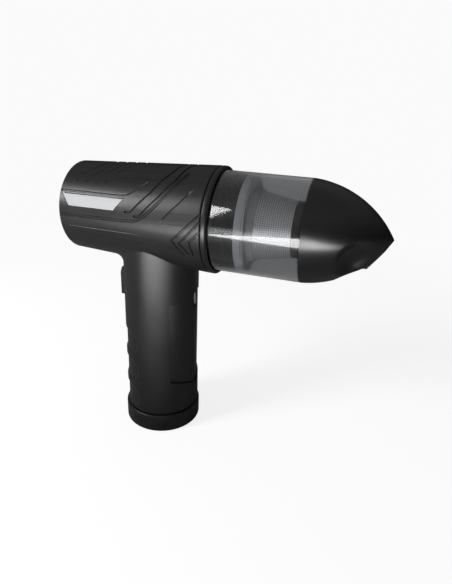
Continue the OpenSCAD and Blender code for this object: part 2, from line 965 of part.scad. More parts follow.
module diffuser() {
    color([0.17, 0.17, 0.18])
        difference() {
            union() {
                tube_x(diffuser_x, fan_back, housing_r, housing_r - housing_wall);
                tube_x(diffuser_x, fan_back, motor_r + seat + 1.5, motor_r + seat);
                tube_x(diffuser_web, diffuser_web + diffuser_t, motor_r + 1, bush_r + 0.3);
                for (i = [0 : 8])
                    translate([diffuser_x, 0, axis_z])
                        rotate([i * 40, 0, 0])
                            translate([0, -0.6, motor_r + 1])
                                cube([fan_back - diffuser_x, 1.2, housing_r - motor_r - 1.6]);
            }
            for (side = [-1, 1])
                translate([0, side * motor_screw_ring, 0])
                    rod_x(diffuser_web - 1, diffuser_web + diffuser_t + 1, motor_screw_r + 0.1);
        }
}

module fan_housing() {
    color([0.17, 0.17, 0.18]) {
        spin_x([[housing_r - housing_wall, fan_back], [housing_r, fan_back], [housing_r, fan_front],
            [fan_eye_r, fan_front], [fan_eye_r, fan_front - fan_plate],
            [housing_r - housing_wall, fan_front - fan_plate]]);
    }
}

module motor_shaft() {
    color([0.75, 0.76, 0.78])
        rod_x(motor_back - end_cap_t + 0.3, impeller_x + impeller_t + blade_h, shaft_r);
}

module armature_core() {
    color([0.45, 0.46, 0.5])
        difference() {
            rod_x(armature_x, armature_x + armature_len, armature_r);
            rod_x(armature_x - 1, armature_x + armature_len + 1, shaft_r + 0.02);
            for (i = [0 : 4])
                translate([armature_x - 1, 0, axis_z])
                    rotate([i * 72, 0, 0])
                        translate([0, -0.7, 4])
                            cube([armature_len + 2, 1.4, armature_r]);
        }
}

module armature_windings() {
    color([0.72, 0.38, 0.18]) {
        tube_x(armature_x - 3, armature_x - 0.02, armature_r - 1.5, 3);
        tube_x(armature_x + armature_len + 0.02, armature_x + armature_len + 3, armature_r - 1.5, 3);
        tube_x(armature_x - 6, armature_x - 3.02, 3.6, shaft_r + 0.02);
    }
}

module impeller() {
    top = impeller_x + impeller_t + blade_h;
    color([0.3, 0.31, 0.33])
        difference() {
            union() {
                rod_x(impeller_x, impeller_x + impeller_t, impeller_r);
                rod_x(impeller_x, top, hub_r);
                intersection() {
                    for (i = [0 : blades - 1])
                        translate([impeller_x + impeller_t - 0.1, 0, axis_z])
                            rotate([i * 360 / blades, 0, 0])
                                translate([0, 0, hub_r + 1.5])
                                    rotate([blade_lean, 0, 0])
                                        cube([blade_h + 0.1, blade_t, impeller_r + 5]);
                    tube_x(impeller_x, top, impeller_r, hub_r - 0.5);
                }
            }
            rod_x(impeller_x - 1, top + 1, shaft_r + 0.02);
        }
}

// ---- filter ----

module filter_seat() {
    step_x = ring_x + 18.7;
    lug_x = spigot_end - 3;
    color([0.08, 0.08, 0.09])
        union() {
            spin_x([[spigot_in, flange_x], [rebate_r - seat, flange_x],
                [rebate_r - seat, flange_x + flange_w - 0.05],
                [cup_in - 2 * seat - 0.1, flange_x + flange_w - 0.05], [spigot_r, flange_x + flange_w + 0.2],
                [spigot_r, seal_x - seal_w / 2], [seal_floor, seal_x - seal_w / 2],
                [seal_floor, seal_x + seal_w / 2], [spigot_r, seal_x + seal_w / 2], [spigot_r, step_x],
                [spigot_r - 0.6, step_x], [spigot_r - 0.6, spigot_end - 0.5], [spigot_r - 1.1, spigot_end],
                [neck_r_out + seat, spigot_end], [neck_r_out + seat, spigot_end - spigot_face],
                [spigot_in, spigot_end - spigot_face]]);
            for (turn = [20, 140, 260])
                on_side(turn)
                    translate([lug_x, 0, spigot_r - 1.5])
                        cylinder(r = 1, h = 1.4);
        }
}

module seal_ring() {
    color([0.05, 0.05, 0.05])
        translate([seal_x, 0, axis_z])
            rotate([0, 90, 0])
                rotate_extrude()
                    translate([seal_floor + seal_r + 0.03, 0])
                        circle(r = seal_r, $fn = 32);
}

module filter_frame() {
    color([0.78, 0.79, 0.8])
        spin_x([[neck_in, filter_x - neck_len], [neck_r_out, filter_x - neck_len],
            [neck_r_out, filter_x], [filter_r + 0.5, filter_x], [filter_r + 0.5, filter_x + filter_flange],
            [filter_r - 0.2, filter_x + skirt_len],
            [mesh_r(filter_x + skirt_len) + 0.05, filter_x + skirt_len],
            [mesh_base_r + 0.05, filter_x + filter_flange], [neck_in, filter_x + filter_flange]]);
}

module filter_pleats() {
    start = filter_x + filter_flange;
    length = filter_end - start;
    base_r = mesh_base_r - mesh_t - 0.1;
    tip_scale = (mesh_tip_r - mesh_t - 0.1) / base_r;
    color([0.82, 0.82, 0.8])
        translate([start, 0, axis_z])
            rotate([0, 90, 0])
                difference() {
                    linear_extrude(height = length, scale = tip_scale)
                        polygon([for (i = [0 : 2 * pleats - 1])
                            (base_r - (i % 2) * pleat_depth) * [cos(i * 180 / pleats), sin(i * 180 / pleats)]]);
                    translate([0, 0, -0.01])
                        cylinder(r1 = base_r - pleat_depth - pleat_wall,
                            r2 = (base_r - pleat_depth) * tip_scale - pleat_wall, h = length + 0.02, $fn = 80);
                }
}

// A fine wire sleeve round the pleats, as a plain thin wall
module filter_mesh() {
    color([0.6, 0.61, 0.62])
        spin_x([[mesh_base_r - mesh_t, mesh_start], [mesh_base_r, mesh_start],
            [mesh_tip_r, filter_end - 0.02], [mesh_tip_r - mesh_t, filter_end - 0.02]]);
}

module filter_end_cap() {
    color([0.07, 0.07, 0.08])
        spin_x([[0, filter_end], [filter_tip_r, filter_end], [filter_tip_r, filter_end + filter_cap_h - 1.2],
            [filter_tip_r - 1.2, filter_end + filter_cap_h], [0, filter_end + filter_cap_h]]);
}

// ---- dust cup and nozzle ----

module dust_cup() {
    color([0.5, 0.52, 0.55, 0.4])
        spin_x([[cup_in, cup_x], [cup_r - 0.4, cup_x], [cup_r, cup_x + 0.4], [cup_front_r, seam_x],
            [collar_r, seam_x], [collar_r, seam_x + cup_collar], [collar_in, seam_x + cup_collar],
            [collar_in, seam_x - 1], [cup_in, seam_x - 3]]);
}

// The ogive from the seam to its tip, for a given wall depth
module ogive(depth, start) {
    translate([0, 0, axis_z])
        rotate([0, 90, 0])
            rotate_extrude()
                intersection() {
                    translate([-ogive_drop, ogive_x])
                        circle(r = ogive_r - depth, $fn = 240);
                    translate([0, start])
                        square([40, 70]);
                }
}

// The nozzle's solid outer form, shrunk by a wall depth
module nozzle_solid(depth, start) {
    difference() {
        union() {
            ogive(depth, start);
            intersection() {
                rod_x(116, 136, lip_r - depth);
                block([100, -lip_w / 2 + depth, axis_z - 30], [140, lip_w / 2 - depth, axis_z - 5]);
            }
        }
        translate([scoop_x, 0, axis_z - scoop_drop])
            rotate([90, 0, 0])
                cylinder(r = scoop_r + depth, h = 80, center = true);
        at_mouth()
            translate([-40, -40, -40 + depth])
                cube([80, 80, 40]);
    }
}

module nozzle() {
    color([0.10, 0.10, 0.11])
        difference() {
            union() {
                difference() {
                    nozzle_solid(0, seam_x);
                    nozzle_solid(nozzle_wall, seam_x - 1);
                }
                intersection() {
                    at_mouth()
                        translate([0, 0, -5])
                            stadium(duct_h, duct_w, duct_len + 5);
                    nozzle_solid(0, seam_x);
                }
            }
            at_mouth()
                translate([0, 0, -6])
                    stadium(mouth_len, mouth_w, duct_len + 12);
            rod_x(seam_x - 1, seam_x + cup_collar + gap, collar_r + seat);
        }
}

module valve_seat() {
    ear_y = flap_w / 2 - 1 + ear_gap;
    color([0.14, 0.14, 0.15])
        at_mouth()
            difference() {
                union() {
                    translate([0, 0, duct_len])
                        stadium(seat_h, seat_w, seat_t);
                    translate([0, 0, duct_len - seat_lap])
                        stadium(seat_h, seat_w, seat_lap);
                    for (side = [-1, 1])
                        translate([hinge_x, side * (ear_y + ear_w / 2), 0])
                            union() {
                                translate([-flap_barrel_r, -ear_w / 2, duct_len])
                                    cube([2 * flap_barrel_r, ear_w, hinge_z - duct_len]);
                                translate([0, 0, hinge_z])
                                    rotate([90, 0, 0])
                                        cylinder(r = flap_barrel_r, h = ear_w, center = true);
                                translate([-flap_barrel_r - 2, -ear_w / 2, duct_len])
                                    cube([2 * flap_barrel_r + 2, ear_w, seat_t]);
                            }
                }
                translate([0, 0, duct_len - 1])
                    stadium(mouth_len, mouth_w, seat_t + 2);
                translate([0, 0, duct_len - seat_lap - 1])
                    stadium(duct_h + 2 * seat, duct_w + 2 * seat, seat_lap + 1);
                translate([hinge_x, 0, hinge_z])
                    rotate([90, 0, 0])
                        cylinder(r = flap_pin_r + 0.02, h = 40, center = true);
            }
}

module flap_valve() {
    barrel_w = flap_w - 2;
    color([0.05, 0.05, 0.05])
        at_mouth()
            difference() {
                union() {
                    translate([0, 0, flap_z])
                        stadium(flap_h, flap_w, flap_t);
                    translate([flap_h / 2 - 4, -barrel_w / 2, flap_z])
                        cube([hinge_x - flap_h / 2 + 4, barrel_w, flap_t]);
                    translate([hinge_x, 0, hinge_z])
                        rotate([90, 0, 0])
                            cylinder(r = flap_barrel_r, h = barrel_w, center = true);
                }
                translate([hinge_x, 0, hinge_z])
                    rotate([90, 0, 0])
                        cylinder(r = flap_pin_r + run, h = 40, center = true);
            }
}

module flap_pin() {
    color([0.75, 0.76, 0.78])
        at_mouth()
            translate([hinge_x, 0, hinge_z])
                rotate([90, 0, 0])
                    cylinder(r = flap_pin_r, h = flap_w - 2 + 2 * (ear_gap + ear_w), center = true);
}

right_shell();
left_shell();
front_ring();
rear_cap();
outlet_grille();
badge_plate();
grip_panel();
end_cap();
shell_screws();
power_button();
switch_plunger();
switch_body();
switch_board();
charge_board();
charge_port();
power_leads();
motor_leads();
battery_cells();
battery_holder();
cell_links();
motor_can();
motor_end_cap();
motor_magnets();
motor_bearings();
motor_screws();
motor_cradle();
diffuser();
fan_housing();
motor_shaft();
armature_core();
armature_windings();
impeller();
filter_seat();
seal_ring();
filter_frame();
filter_pleats();
filter_mesh();
filter_end_cap();
dust_cup();
nozzle();
valve_seat();
flap_valve();
flap_pin();
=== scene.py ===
"""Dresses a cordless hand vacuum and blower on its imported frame."""

import json
import logging
import math
from dataclasses import dataclass, field
from enum import Enum
from typing import Callable, Sequence

import bpy
from mathutils import Matrix, Vector

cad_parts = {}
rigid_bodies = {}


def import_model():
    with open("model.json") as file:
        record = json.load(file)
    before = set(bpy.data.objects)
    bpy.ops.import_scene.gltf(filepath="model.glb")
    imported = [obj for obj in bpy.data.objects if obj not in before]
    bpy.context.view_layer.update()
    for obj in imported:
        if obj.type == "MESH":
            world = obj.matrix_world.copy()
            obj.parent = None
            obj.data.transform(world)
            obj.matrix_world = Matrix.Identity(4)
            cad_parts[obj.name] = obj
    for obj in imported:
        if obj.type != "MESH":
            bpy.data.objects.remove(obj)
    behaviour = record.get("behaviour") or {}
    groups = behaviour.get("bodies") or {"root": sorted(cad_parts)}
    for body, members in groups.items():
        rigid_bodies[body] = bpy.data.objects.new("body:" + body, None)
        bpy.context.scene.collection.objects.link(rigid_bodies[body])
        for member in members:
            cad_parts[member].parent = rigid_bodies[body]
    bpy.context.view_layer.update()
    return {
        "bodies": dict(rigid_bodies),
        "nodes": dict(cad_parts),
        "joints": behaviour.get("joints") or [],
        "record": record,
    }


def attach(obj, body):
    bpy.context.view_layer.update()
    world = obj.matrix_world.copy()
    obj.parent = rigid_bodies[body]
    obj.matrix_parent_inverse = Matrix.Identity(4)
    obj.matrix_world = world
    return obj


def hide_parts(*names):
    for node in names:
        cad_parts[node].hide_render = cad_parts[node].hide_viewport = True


LOG = logging.getLogger("hand_vacuum")
MM = 0.001
Place = tuple[float, float]
Colour = tuple[float, float, float]


class Side(Enum):
    """The side of the object, as the sign of Y."""

    RIGHT = -1
    LEFT = 1


class Axis(Enum):
    """The axis that a turned piece is turned about."""

    BARREL = "x"
    HANDLE = "z"


class Joining(Enum):
    """What a boolean does with its tool."""

    ADD = "UNION"
    CUT = "DIFFERENCE"
    KEEP_COMMON = "INTERSECT"


# ---------------------------------------------------------------- workshop


def pick(*objects: bpy.types.Object) -> None:
    """Selects only these objects; the last one becomes active."""
    bpy.ops.object.select_all(action="DESELECT")
    for obj in objects:
        obj.select_set(True)
    bpy.context.view_layer.objects.active = objects[-1]


def finish_with(obj: bpy.types.Object, kind: str, **settings: object) -> None:
    """Adds a modifier and applies it.

    Args:
        obj: The piece.
        kind: The modifier's type.
        **settings: The modifier's properties.
    """
    pick(obj)
    modifier = obj.modifiers.new(kind.title(), kind)
    for name, value in settings.items():
        setattr(modifier, name, value)
    bpy.ops.object.modifier_apply(modifier=modifier.name)


def combine(
    obj: bpy.types.Object, tool: bpy.types.Object, joining: Joining, solver: str = "MANIFOLD"
) -> None:
    """Joins or cuts a piece with a tool, which is then thrown away.

    Args:
        obj: The piece.
        tool: The closed solid that it is joined or cut with.
        joining: Whether the tool is added, cut away or kept in common.
        solver: Blender's boolean solver.
    """
    finish_with(obj, "BOOLEAN", object=tool, operation=joining.value, solver=solver)
    bpy.data.objects.remove(tool, do_unlink=True)
    if not obj.data.polygons:
        raise RuntimeError(f"nothing is left of {obj.name}")


def soften(obj: bpy.types.Object, angle: float = 32.0) -> None:
    """Shades a piece smooth up to an angle in degrees."""
    pick(obj)
    bpy.ops.object.shade_smooth_by_angle(angle=math.radians(angle))


def from_faces(name: str, points: Sequence[Vector], faces: Sequence[Sequence[int]]) -> bpy.types.Object:
    """A closed piece from its points and faces, with its faces turned outwards.

    Args:
        name: The piece's name.
        points: Its points in the row frame.
        faces: Its faces, as indices of points.

    Returns:
        The new object.
    """
    mesh = bpy.data.meshes.new(name)
    mesh.from_pydata([tuple(p) for p in points], [], [tuple(f) for f in faces])
    obj = bpy.data.objects.new(name, mesh)
    bpy.context.collection.objects.link(obj)
    turn_outwards(obj)
    return obj


def turn_outwards(obj: bpy.types.Object, weld: float = 1e-6) -> None:
    """Merges doubled points and turns all faces outwards.

    Args:
        obj: The piece.
        weld: Distance within which points are merged.
    """
    pick(obj)
    bpy.ops.object.mode_set(mode="EDIT")
    bpy.ops.mesh.select_all(action="SELECT")
    bpy.ops.mesh.remove_doubles(threshold=weld)
    bpy.ops.mesh.normals_make_consistent(inside=False)
    bpy.ops.object.mode_set(mode="OBJECT")


def turned(
    name: str, profile: Sequence[Place], axis: Axis, height: float = 0.0, steps: int = 192
) -> bpy.types.Object:
    """A piece turned on a lathe.

    Args:
        name: The piece's name.
        profile: Closed outline of (place along the axis, radius).
        axis: The axis it is turned about.
        height: Height of the barrel's axis, for a piece turned about it.
        steps: Number of facets round the piece.

    Returns:
        The new object.
    """
    if axis is Axis.BARREL:
        points = [(along, 0.0, height + radius) for along, radius in profile]
    else:
        points = [(radius, 0.0, along) for along, radius in profile]
    edges = [(i, (i + 1) % len(points)) for i in range(len(points))]
    mesh = bpy.data.meshes.new(name)
    mesh.from_pydata(points, edges, [])
    obj = bpy.data.objects.new(name, mesh)
    bpy.context.collection.objects.link(obj)
    pick(obj)
    bpy.ops.object.mode_set(mode="EDIT")
    bpy.ops.mesh.select_all(action="SELECT")
    direction = (1, 0, 0) if axis is Axis.BARREL else (0, 0, 1)
    bpy.ops.mesh.spin(steps=steps, angle=math.tau, center=(0, 0, height), axis=direction)
    bpy.ops.mesh.select_all(action="SELECT")
    bpy.ops.mesh.remove_doubles(threshold=1e-6)
    bpy.ops.mesh.dissolve_degenerate(threshold=1e-7)
    bpy.ops.mesh.select_all(action="SELECT")
    bpy.ops.mesh.normals_make_consistent(inside=False)
    bpy.ops.object.mode_set(mode="OBJECT")
    return obj


def formed(name: str, columns: int, rows: int, shape: Callable[[float, float], Vector]) -> bpy.types.Object:
    """A grid that is wrapped into a closed form, with its open ends filled.

    Args:
        name: The piece's name.
        columns: Faces round the piece.
        rows: Faces along it.
        shape: Gives the point for a share round (0 to 1) and a share along (0 to 1).

    Returns:
        The new object.
    """
    bpy.ops.object.select_all(action="DESELECT")
    bpy.ops.mesh.primitive_grid_add(x_subdivisions=columns, y_subdivisions=rows, size=2)
    obj = bpy.context.active_object
    obj.name = obj.data.name = name
    for vertex in obj.data.vertices:
        vertex.co = shape((vertex.co.x + 1) / 2, (vertex.co.y + 1) / 2)
    pick(obj)
    bpy.ops.object.mode_set(mode="EDIT")
    bpy.ops.mesh.select_all(action="SELECT")
    bpy.ops.mesh.remove_doubles(threshold=2e-6)
    bpy.ops.mesh.select_all(action="SELECT")
    bpy.ops.mesh.fill_holes(sides=0)
    bpy.ops.mesh.select_all(action="SELECT")
    bpy.ops.mesh.normals_make_consistent(inside=False)
    bpy.ops.object.mode_set(mode="OBJECT")
    return obj


def prism(name: str, outline: Sequence[Place], low: float, high: float, frame: Matrix) -> bpy.types.Object:
    """A straight bar with the given outline.

    Args:
        name: The piece's name.
        outline: Its outline, as places in the frame's X and Y.
        low: Where it starts along the frame's Z.
        high: Where it ends along the frame's Z.
        frame: Where the outline stands in the row frame.

    Returns:
        The new object.
    """
    count = len(outline)
    points = [frame @ Vector((x, y, z)) for z in (low, high) for x, y in outline]
    faces = [tuple(range(count)), tuple(range(count, 2 * count))]
    faces += [(i, (i + 1) % count, count + (i + 1) % count, count + i) for i in range(count)]
    return from_faces(name, points, faces)


def stadium(length: float, width: float, steps: int = 16) -> list[Place]:
    """The outline of a slot with round ends, its length along X."""
    reach = (length - width) / 2
    outline = []
    for end in (1, -1):
        for i in range(steps + 1):
            angle = math.pi * (i / steps - 0.5) + (0 if end > 0 else math.pi)
            outline.append((end * reach + width / 2 * math.cos(angle), width / 2 * math.sin(angle)))
    return outline


def block(name: str, low: Vector, high: Vector, rounding: float = 0.0) -> bpy.types.Object:
    """A box between two corners, with its edges rounded.

    Args:
        name: The piece's name.
        low: Its lowest corner.
        high: Its highest corner.
        rounding: Radius of its edges.

    Returns:
        The new object.
    """
    bpy.ops.object.select_all(action="DESELECT")
    bpy.ops.mesh.primitive_cube_add(size=1, location=(low + high) / 2)
    obj = bpy.context.active_object
    obj.name = obj.data.name = name
    obj.scale = high - low
    bpy.ops.object.transform_apply(location=True, rotation=True, scale=True)
    if rounding:
        finish_with(obj, "BEVEL", width=rounding, segments=4, limit_method="NONE")
    return obj


def rod(name: str, start: Vector, end: Vector, radius: float, steps: int = 48) -> bpy.types.Object:
    """A round rod between two points, as a cutting tool."""
    way = end - start
    frame = Matrix.Translation(start) @ way.to_track_quat("Z", "Y").to_matrix().to_4x4()
    turns = [math.tau * i / steps for i in range(steps)]
    outline = [(radius * math.cos(turn), radius * math.sin(turn)) for turn in turns]
    return prism(name, outline, 0.0, way.length, frame)


def moulded_copy(
    node: str, name: str, edge: float, segments: int = 3, sharp: float = 35.0
) -> bpy.types.Object:
    """A copy of a CAD node with its hard edges rounded, as a moulding or a casting has them.

    Args:
        node: The CAD node.
        name: The new piece's name.
        edge: Radius of its edges.
        segments: Facets in each rounded edge.
        sharp: Angle in degrees from which an edge is rounded.

    Returns:
        The new object.
    """
    source = bpy.data.objects[node]
    obj = bpy.data.objects.new(name, source.data.copy())
    obj.data.name = name
    obj.data.materials.clear()
    bpy.context.collection.objects.link(obj)
    turn_outwards(obj, weld=2e-6)
    pick(obj)
    bpy.ops.object.mode_set(mode="EDIT")
    bpy.ops.mesh.select_all(action="SELECT")
    bpy.ops.mesh.dissolve_limited(angle_limit=math.radians(0.5))
    bpy.ops.object.mode_set(mode="OBJECT")
    finish_with(
        obj,
        "BEVEL",
        width=edge,
        segments=segments,
        limit_method="ANGLE",
        angle_limit=math.radians(sharp),
        use_clamp_overlap=True,
    )
    soften(obj, 38.0)
    return obj


def smooth_step(value: float) -> float:
    """A ramp from 0 to 1 that starts and ends level."""
    t = min(1.0, max(0.0, value))
    return t * t * (3 - 2 * t)


def soft_least(a: float, b: float, blend: float) -> float:
    """The lesser of two values, with a round change between them."""
    share = min(1.0, max(0.0, 0.5 + 0.5 * (b - a) / blend))
    return b + (a - b) * share - blend * share * (1 - share)


def soft_most(a: float, b: float, blend: float) -> float:
    """The greater of two values, with a round change between them."""
    return -soft_least(-a, -b, blend)


# ---------------------------------------------------------------- finishes


class Recipe:
    """The node tree of one material while it is laid out."""

    def __init__(self, name: str) -> None:
        """Starts a material with a Principled shader.

        Args:
            name: The material's name.
        """
        self.material = bpy.data.materials.new(name)
        self.material.use_nodes = True
        self.tree = self.material.node_tree
        self.tree.nodes.clear()
        self.output = self.add("ShaderNodeOutputMaterial")
        self.shader = self.add("ShaderNodeBsdfPrincipled")
        self.tree.links.new(self.shader.outputs["BSDF"], self.output.inputs["Surface"])
        self.coords = self.add("ShaderNodeTexCoord")

    def add(self, kind: str, **settings: object) -> bpy.types.Node:
        """Adds a node.

        Args:
            kind: The node's type.
            **settings: The node's properties.

        Returns:
            The new node.
        """
        node = self.tree.nodes.new(kind)
        for name, value in settings.items():
            setattr(node, name, value)
        return node

    def join(self, source: bpy.types.NodeSocket, target: bpy.types.NodeSocket) -> None:
        """Links two sockets."""
        self.tree.links.new(source, target)

    def set_shader(self, **values: object) -> None:
        """Sets the shader's own sockets; underscores in the names stand for spaces."""
        for name, value in values.items():
            self.shader.inputs[name.replace("_", " ")].default_value = value

    def pattern(self, kind: str, scale: float, stretch: Colour | None = None, **inputs: float) -> bpy.types.Node:
        """A texture on the piece's own coordinates.

        Args:
            kind: The texture node's type.
            scale: Repeats in a metre.
            stretch: How much the pattern is squeezed along each axis.
            **inputs: The texture's other inputs.

        Returns:
            The texture node.
        """
        texture = self.add(kind)
        texture.inputs["Scale"].default_value = scale
        for name, value in inputs.items():
            texture.inputs[name.replace("_", " ")].default_value = value
        source = self.coords.outputs["Object"]
        if stretch:
            mapping = self.add("ShaderNodeMapping")
            mapping.inputs["Scale"].default_value = stretch
            self.join(source, mapping.inputs["Vector"])
            source = mapping.outputs["Vector"]
        self.join(source, texture.inputs["Vector"])
        return texture

    def vary_colour(self, source: bpy.types.NodeSocket, dark: Colour, light: Colour) -> None:
        """Colours the shader between two shades by a pattern."""
        ramp = self.add("ShaderNodeValToRGB")
        ramp.color_ramp.elements[0].color = (*dark, 1)
        ramp.color_ramp.elements[1].color = (*light, 1)
        ramp.color_ramp.elements[0].position = 0.3
        ramp.color_ramp.elements[1].position = 0.7
        self.join(source, ramp.inputs["Fac"])
        self.join(ramp.outputs["Color"], self.shader.inputs["Base Color"])

    def vary_roughness(self, source: bpy.types.NodeSocket, low: float, high: float) -> None:
        """Varies the shader's roughness by a pattern."""
        spread = self.add("ShaderNodeMapRange")
        spread.inputs["From Min"].default_value = 0.3
        spread.inputs["From Max"].default_value = 0.7
        spread.inputs["To Min"].default_value = low
        spread.inputs["To Max"].default_value = high
        self.join(source, spread.inputs["Value"])
        self.join(spread.outputs["Result"], self.shader.inputs["Roughness"])

    def raise_grain(self, source: bpy.types.NodeSocket, height: float, strength: float = 1.0) -> None:
        """Gives the surface a grain of the given height in metres."""
        bump = self.add("ShaderNodeBump")
        bump.inputs["Distance"].default_value = height
        bump.inputs["Strength"].default_value = strength
        self.join(source, bump.inputs["Height"])
        self.join(bump.outputs["Normal"], self.shader.inputs["Normal"])


@dataclass(frozen=True)
class Moulding:
    """Satin injection-moulded plastic with a fine spark-eroded grain."""

    name: str
    colour: Colour
    roughness: float = 0.42
    grain: float = 0.000012
    grain_scale: float = 2600.0
    specular: float = 0.5

    def build(self) -> bpy.types.Material:
        """Returns the new material."""
        recipe = Recipe(self.name)
        recipe.set_shader(Specular_IOR_Level=self.specular, IOR=1.49)
        clouds = recipe.pattern("ShaderNodeTexNoise", 70.0, Detail=4.0, Roughness=0.6)
        dark = tuple(c * 0.86 for c in self.colour)
        light = tuple(c * 1.16 for c in self.colour)
        recipe.vary_colour(clouds.outputs["Fac"], dark, light)
        smears = recipe.pattern("ShaderNodeTexNoise", 38.0, stretch=(1.0, 1.3, 0.7), Detail=3.0)
        recipe.vary_roughness(smears.outputs["Fac"], self.roughness - 0.03, self.roughness + 0.04)
        grain = recipe.pattern("ShaderNodeTexNoise", self.grain_scale, Detail=2.0)
        recipe.raise_grain(grain.outputs["Fac"], self.grain)
        return recipe.material


@dataclass(frozen=True)
class SmokedClear:
    """Polished smoked plastic that lets lamps through to what it holds."""

    name: str
    tint: Colour
    roughness: float = 0.1

    def build(self) -> bpy.types.Material:
        """Returns the new material."""
        recipe = Recipe(self.name)
        recipe.set_shader(Transmission_Weight=1.0, IOR=1.46, Specular_IOR_Level=0.16)
        recipe.shader.inputs["Base Color"].default_value = (*self.tint, 1)
        wear = recipe.pattern("ShaderNodeTexNoise", 60.0, Detail=3.0)
        recipe.vary_roughness(wear.outputs["Fac"], self.roughness - 0.015, self.roughness + 0.015)
        film = recipe.add("ShaderNodeBsdfTransparent")
        film.inputs["Color"].default_value = (*(c**0.5 for c in self.tint), 1)
        rays = recipe.add("ShaderNodeLightPath")
        mix = recipe.add("ShaderNodeMixShader")
        recipe.join(rays.outputs["Is Shadow Ray"], mix.inputs[0])
        recipe.join(recipe.shader.outputs["BSDF"], mix.inputs[1])
        recipe.join(film.outputs["BSDF"], mix.inputs[2])
        recipe.join(mix.outputs["Shader"], recipe.output.inputs["Surface"])
        return recipe.material


@dataclass(frozen=True)
class BrushedMetal:
    """Metal with fine lines along one axis."""

    name: str
    colour: Colour
    roughness: float = 0.3
    lines: Colour = (1.0, 1.0, 0.04)
    depth: float = 0.000008

    def build(self) -> bpy.types.Material:
        """Returns the new material."""
        recipe = Recipe(self.name)
        recipe.set_shader(Metallic=1.0)
        streaks = recipe.pattern("ShaderNodeTexNoise", 5200.0, stretch=self.lines, Detail=3.0)
        dull = tuple(c * 0.9 for c in self.colour)
        bright = tuple(min(1, c * 1.08) for c in self.colour)
        recipe.vary_colour(streaks.outputs["Fac"], dull, bright)
        recipe.vary_roughness(streaks.outputs["Fac"], self.roughness - 0.05, self.roughness + 0.08)
        recipe.raise_grain(streaks.outputs["Fac"], self.depth)
        return recipe.material


@dataclass(frozen=True)
class Rubber:
    """Matt rubber with a dusty bloom."""

    name: str
    colour: Colour
    roughness: float = 0.72

    def build(self) -> bpy.types.Material:
        """Returns the new material."""
        recipe = Recipe(self.name)
        recipe.set_shader(Specular_IOR_Level=0.35, Sheen_Weight=0.08, Sheen_Roughness=0.5)
        bloom = recipe.pattern("ShaderNodeTexNoise", 160.0, Detail=5.0, Roughness=0.7)
        clean = tuple(c * 0.8 for c in self.colour)
        dusty = tuple(c * 1.5 for c in self.colour)
        recipe.vary_colour(bloom.outputs["Fac"], clean, dusty)
        recipe.vary_roughness(bloom.outputs["Fac"], self.roughness - 0.06, self.roughness + 0.08)
        pores = recipe.pattern("ShaderNodeTexNoise", 3600.0, Detail=2.0)
        recipe.raise_grain(pores.outputs["Fac"], 0.00002)
        return recipe.material


@dataclass(frozen=True)
class Fibre:
    """Pressed filter paper with visible fibres."""

    name: str
    colour: Colour

    def build(self) -> bpy.types.Material:
        """Returns the new material."""
        recipe = Recipe(self.name)
        recipe.set_shader(Roughness=0.9, Specular_IOR_Level=0.2)
        fibres = recipe.pattern("ShaderNodeTexNoise", 900.0, stretch=(0.3, 1.0, 1.0), Detail=6.0, Distortion=0.6)
        recipe.vary_colour(fibres.outputs["Fac"], tuple(c * 0.75 for c in self.colour), self.colour)
        recipe.raise_grain(fibres.outputs["Fac"], 0.00006)
        return recipe.material


@dataclass(frozen=True)
class WovenWire:
    """Fine wire gauze: wires along the cone and round it, with the holes between them painted dark as painted shade
    seen through the openings.
    """

    name: str
    wire: Colour
    # Colour of the holes: painted shade, standing for the dark seen through the gauze's openings.
    hole: Colour
    pitch: float = 0.0012

    def build(self) -> bpy.types.Material:
        """Returns the new material."""
        recipe = Recipe(self.name)
        recipe.set_shader(Metallic=0.6, Roughness=0.38)
        weave = recipe.add("ShaderNodeMath", operation="MAXIMUM")
        uv = recipe.coords.outputs["UV"]
        for index, direction in enumerate(("X", "Y")):
            wires = recipe.add("ShaderNodeTexWave", wave_type="BANDS", bands_direction=direction)
            wires.inputs["Scale"].default_value = 0.314159 / self.pitch
            wires.inputs["Distortion"].default_value = 0.0
            recipe.join(uv, wires.inputs["Vector"])
            recipe.join(wires.outputs["Fac"], weave.inputs[index])
        # The holes take the painted-shade colour and the wires their own.
        recipe.vary_colour(weave.outputs["Value"], self.hole, self.wire)
        recipe.raise_grain(weave.outputs["Value"], 0.00003)
        return recipe.material


@dataclass(frozen=True)
class CircuitBoard:
    """Green solder mask with copper tracks under it."""

    name: str
    mask: Colour
    track: Colour

    def build(self) -> bpy.types.Material:
        """Returns the new material."""
        recipe = Recipe(self.name)
        recipe.set_shader(Roughness=0.35, Coat_Weight=0.3)
        tracks = recipe.pattern("ShaderNodeTexBrick", 260.0, stretch=(0.0, 1.0, 1.0), Mortar_Size=0.08)
        tracks.inputs["Color1"].default_value = tracks.inputs["Color2"].default_value = (*self.mask, 1)
        tracks.inputs["Mortar"].default_value = (*self.track, 1)
        recipe.join(tracks.outputs["Color"], recipe.shader.inputs["Base Color"])
        recipe.raise_grain(tracks.outputs["Fac"], 0.00003)
        return recipe.material


Finish = Moulding | SmokedClear | BrushedMetal | Rubber | Fibre | WovenWire | CircuitBoard

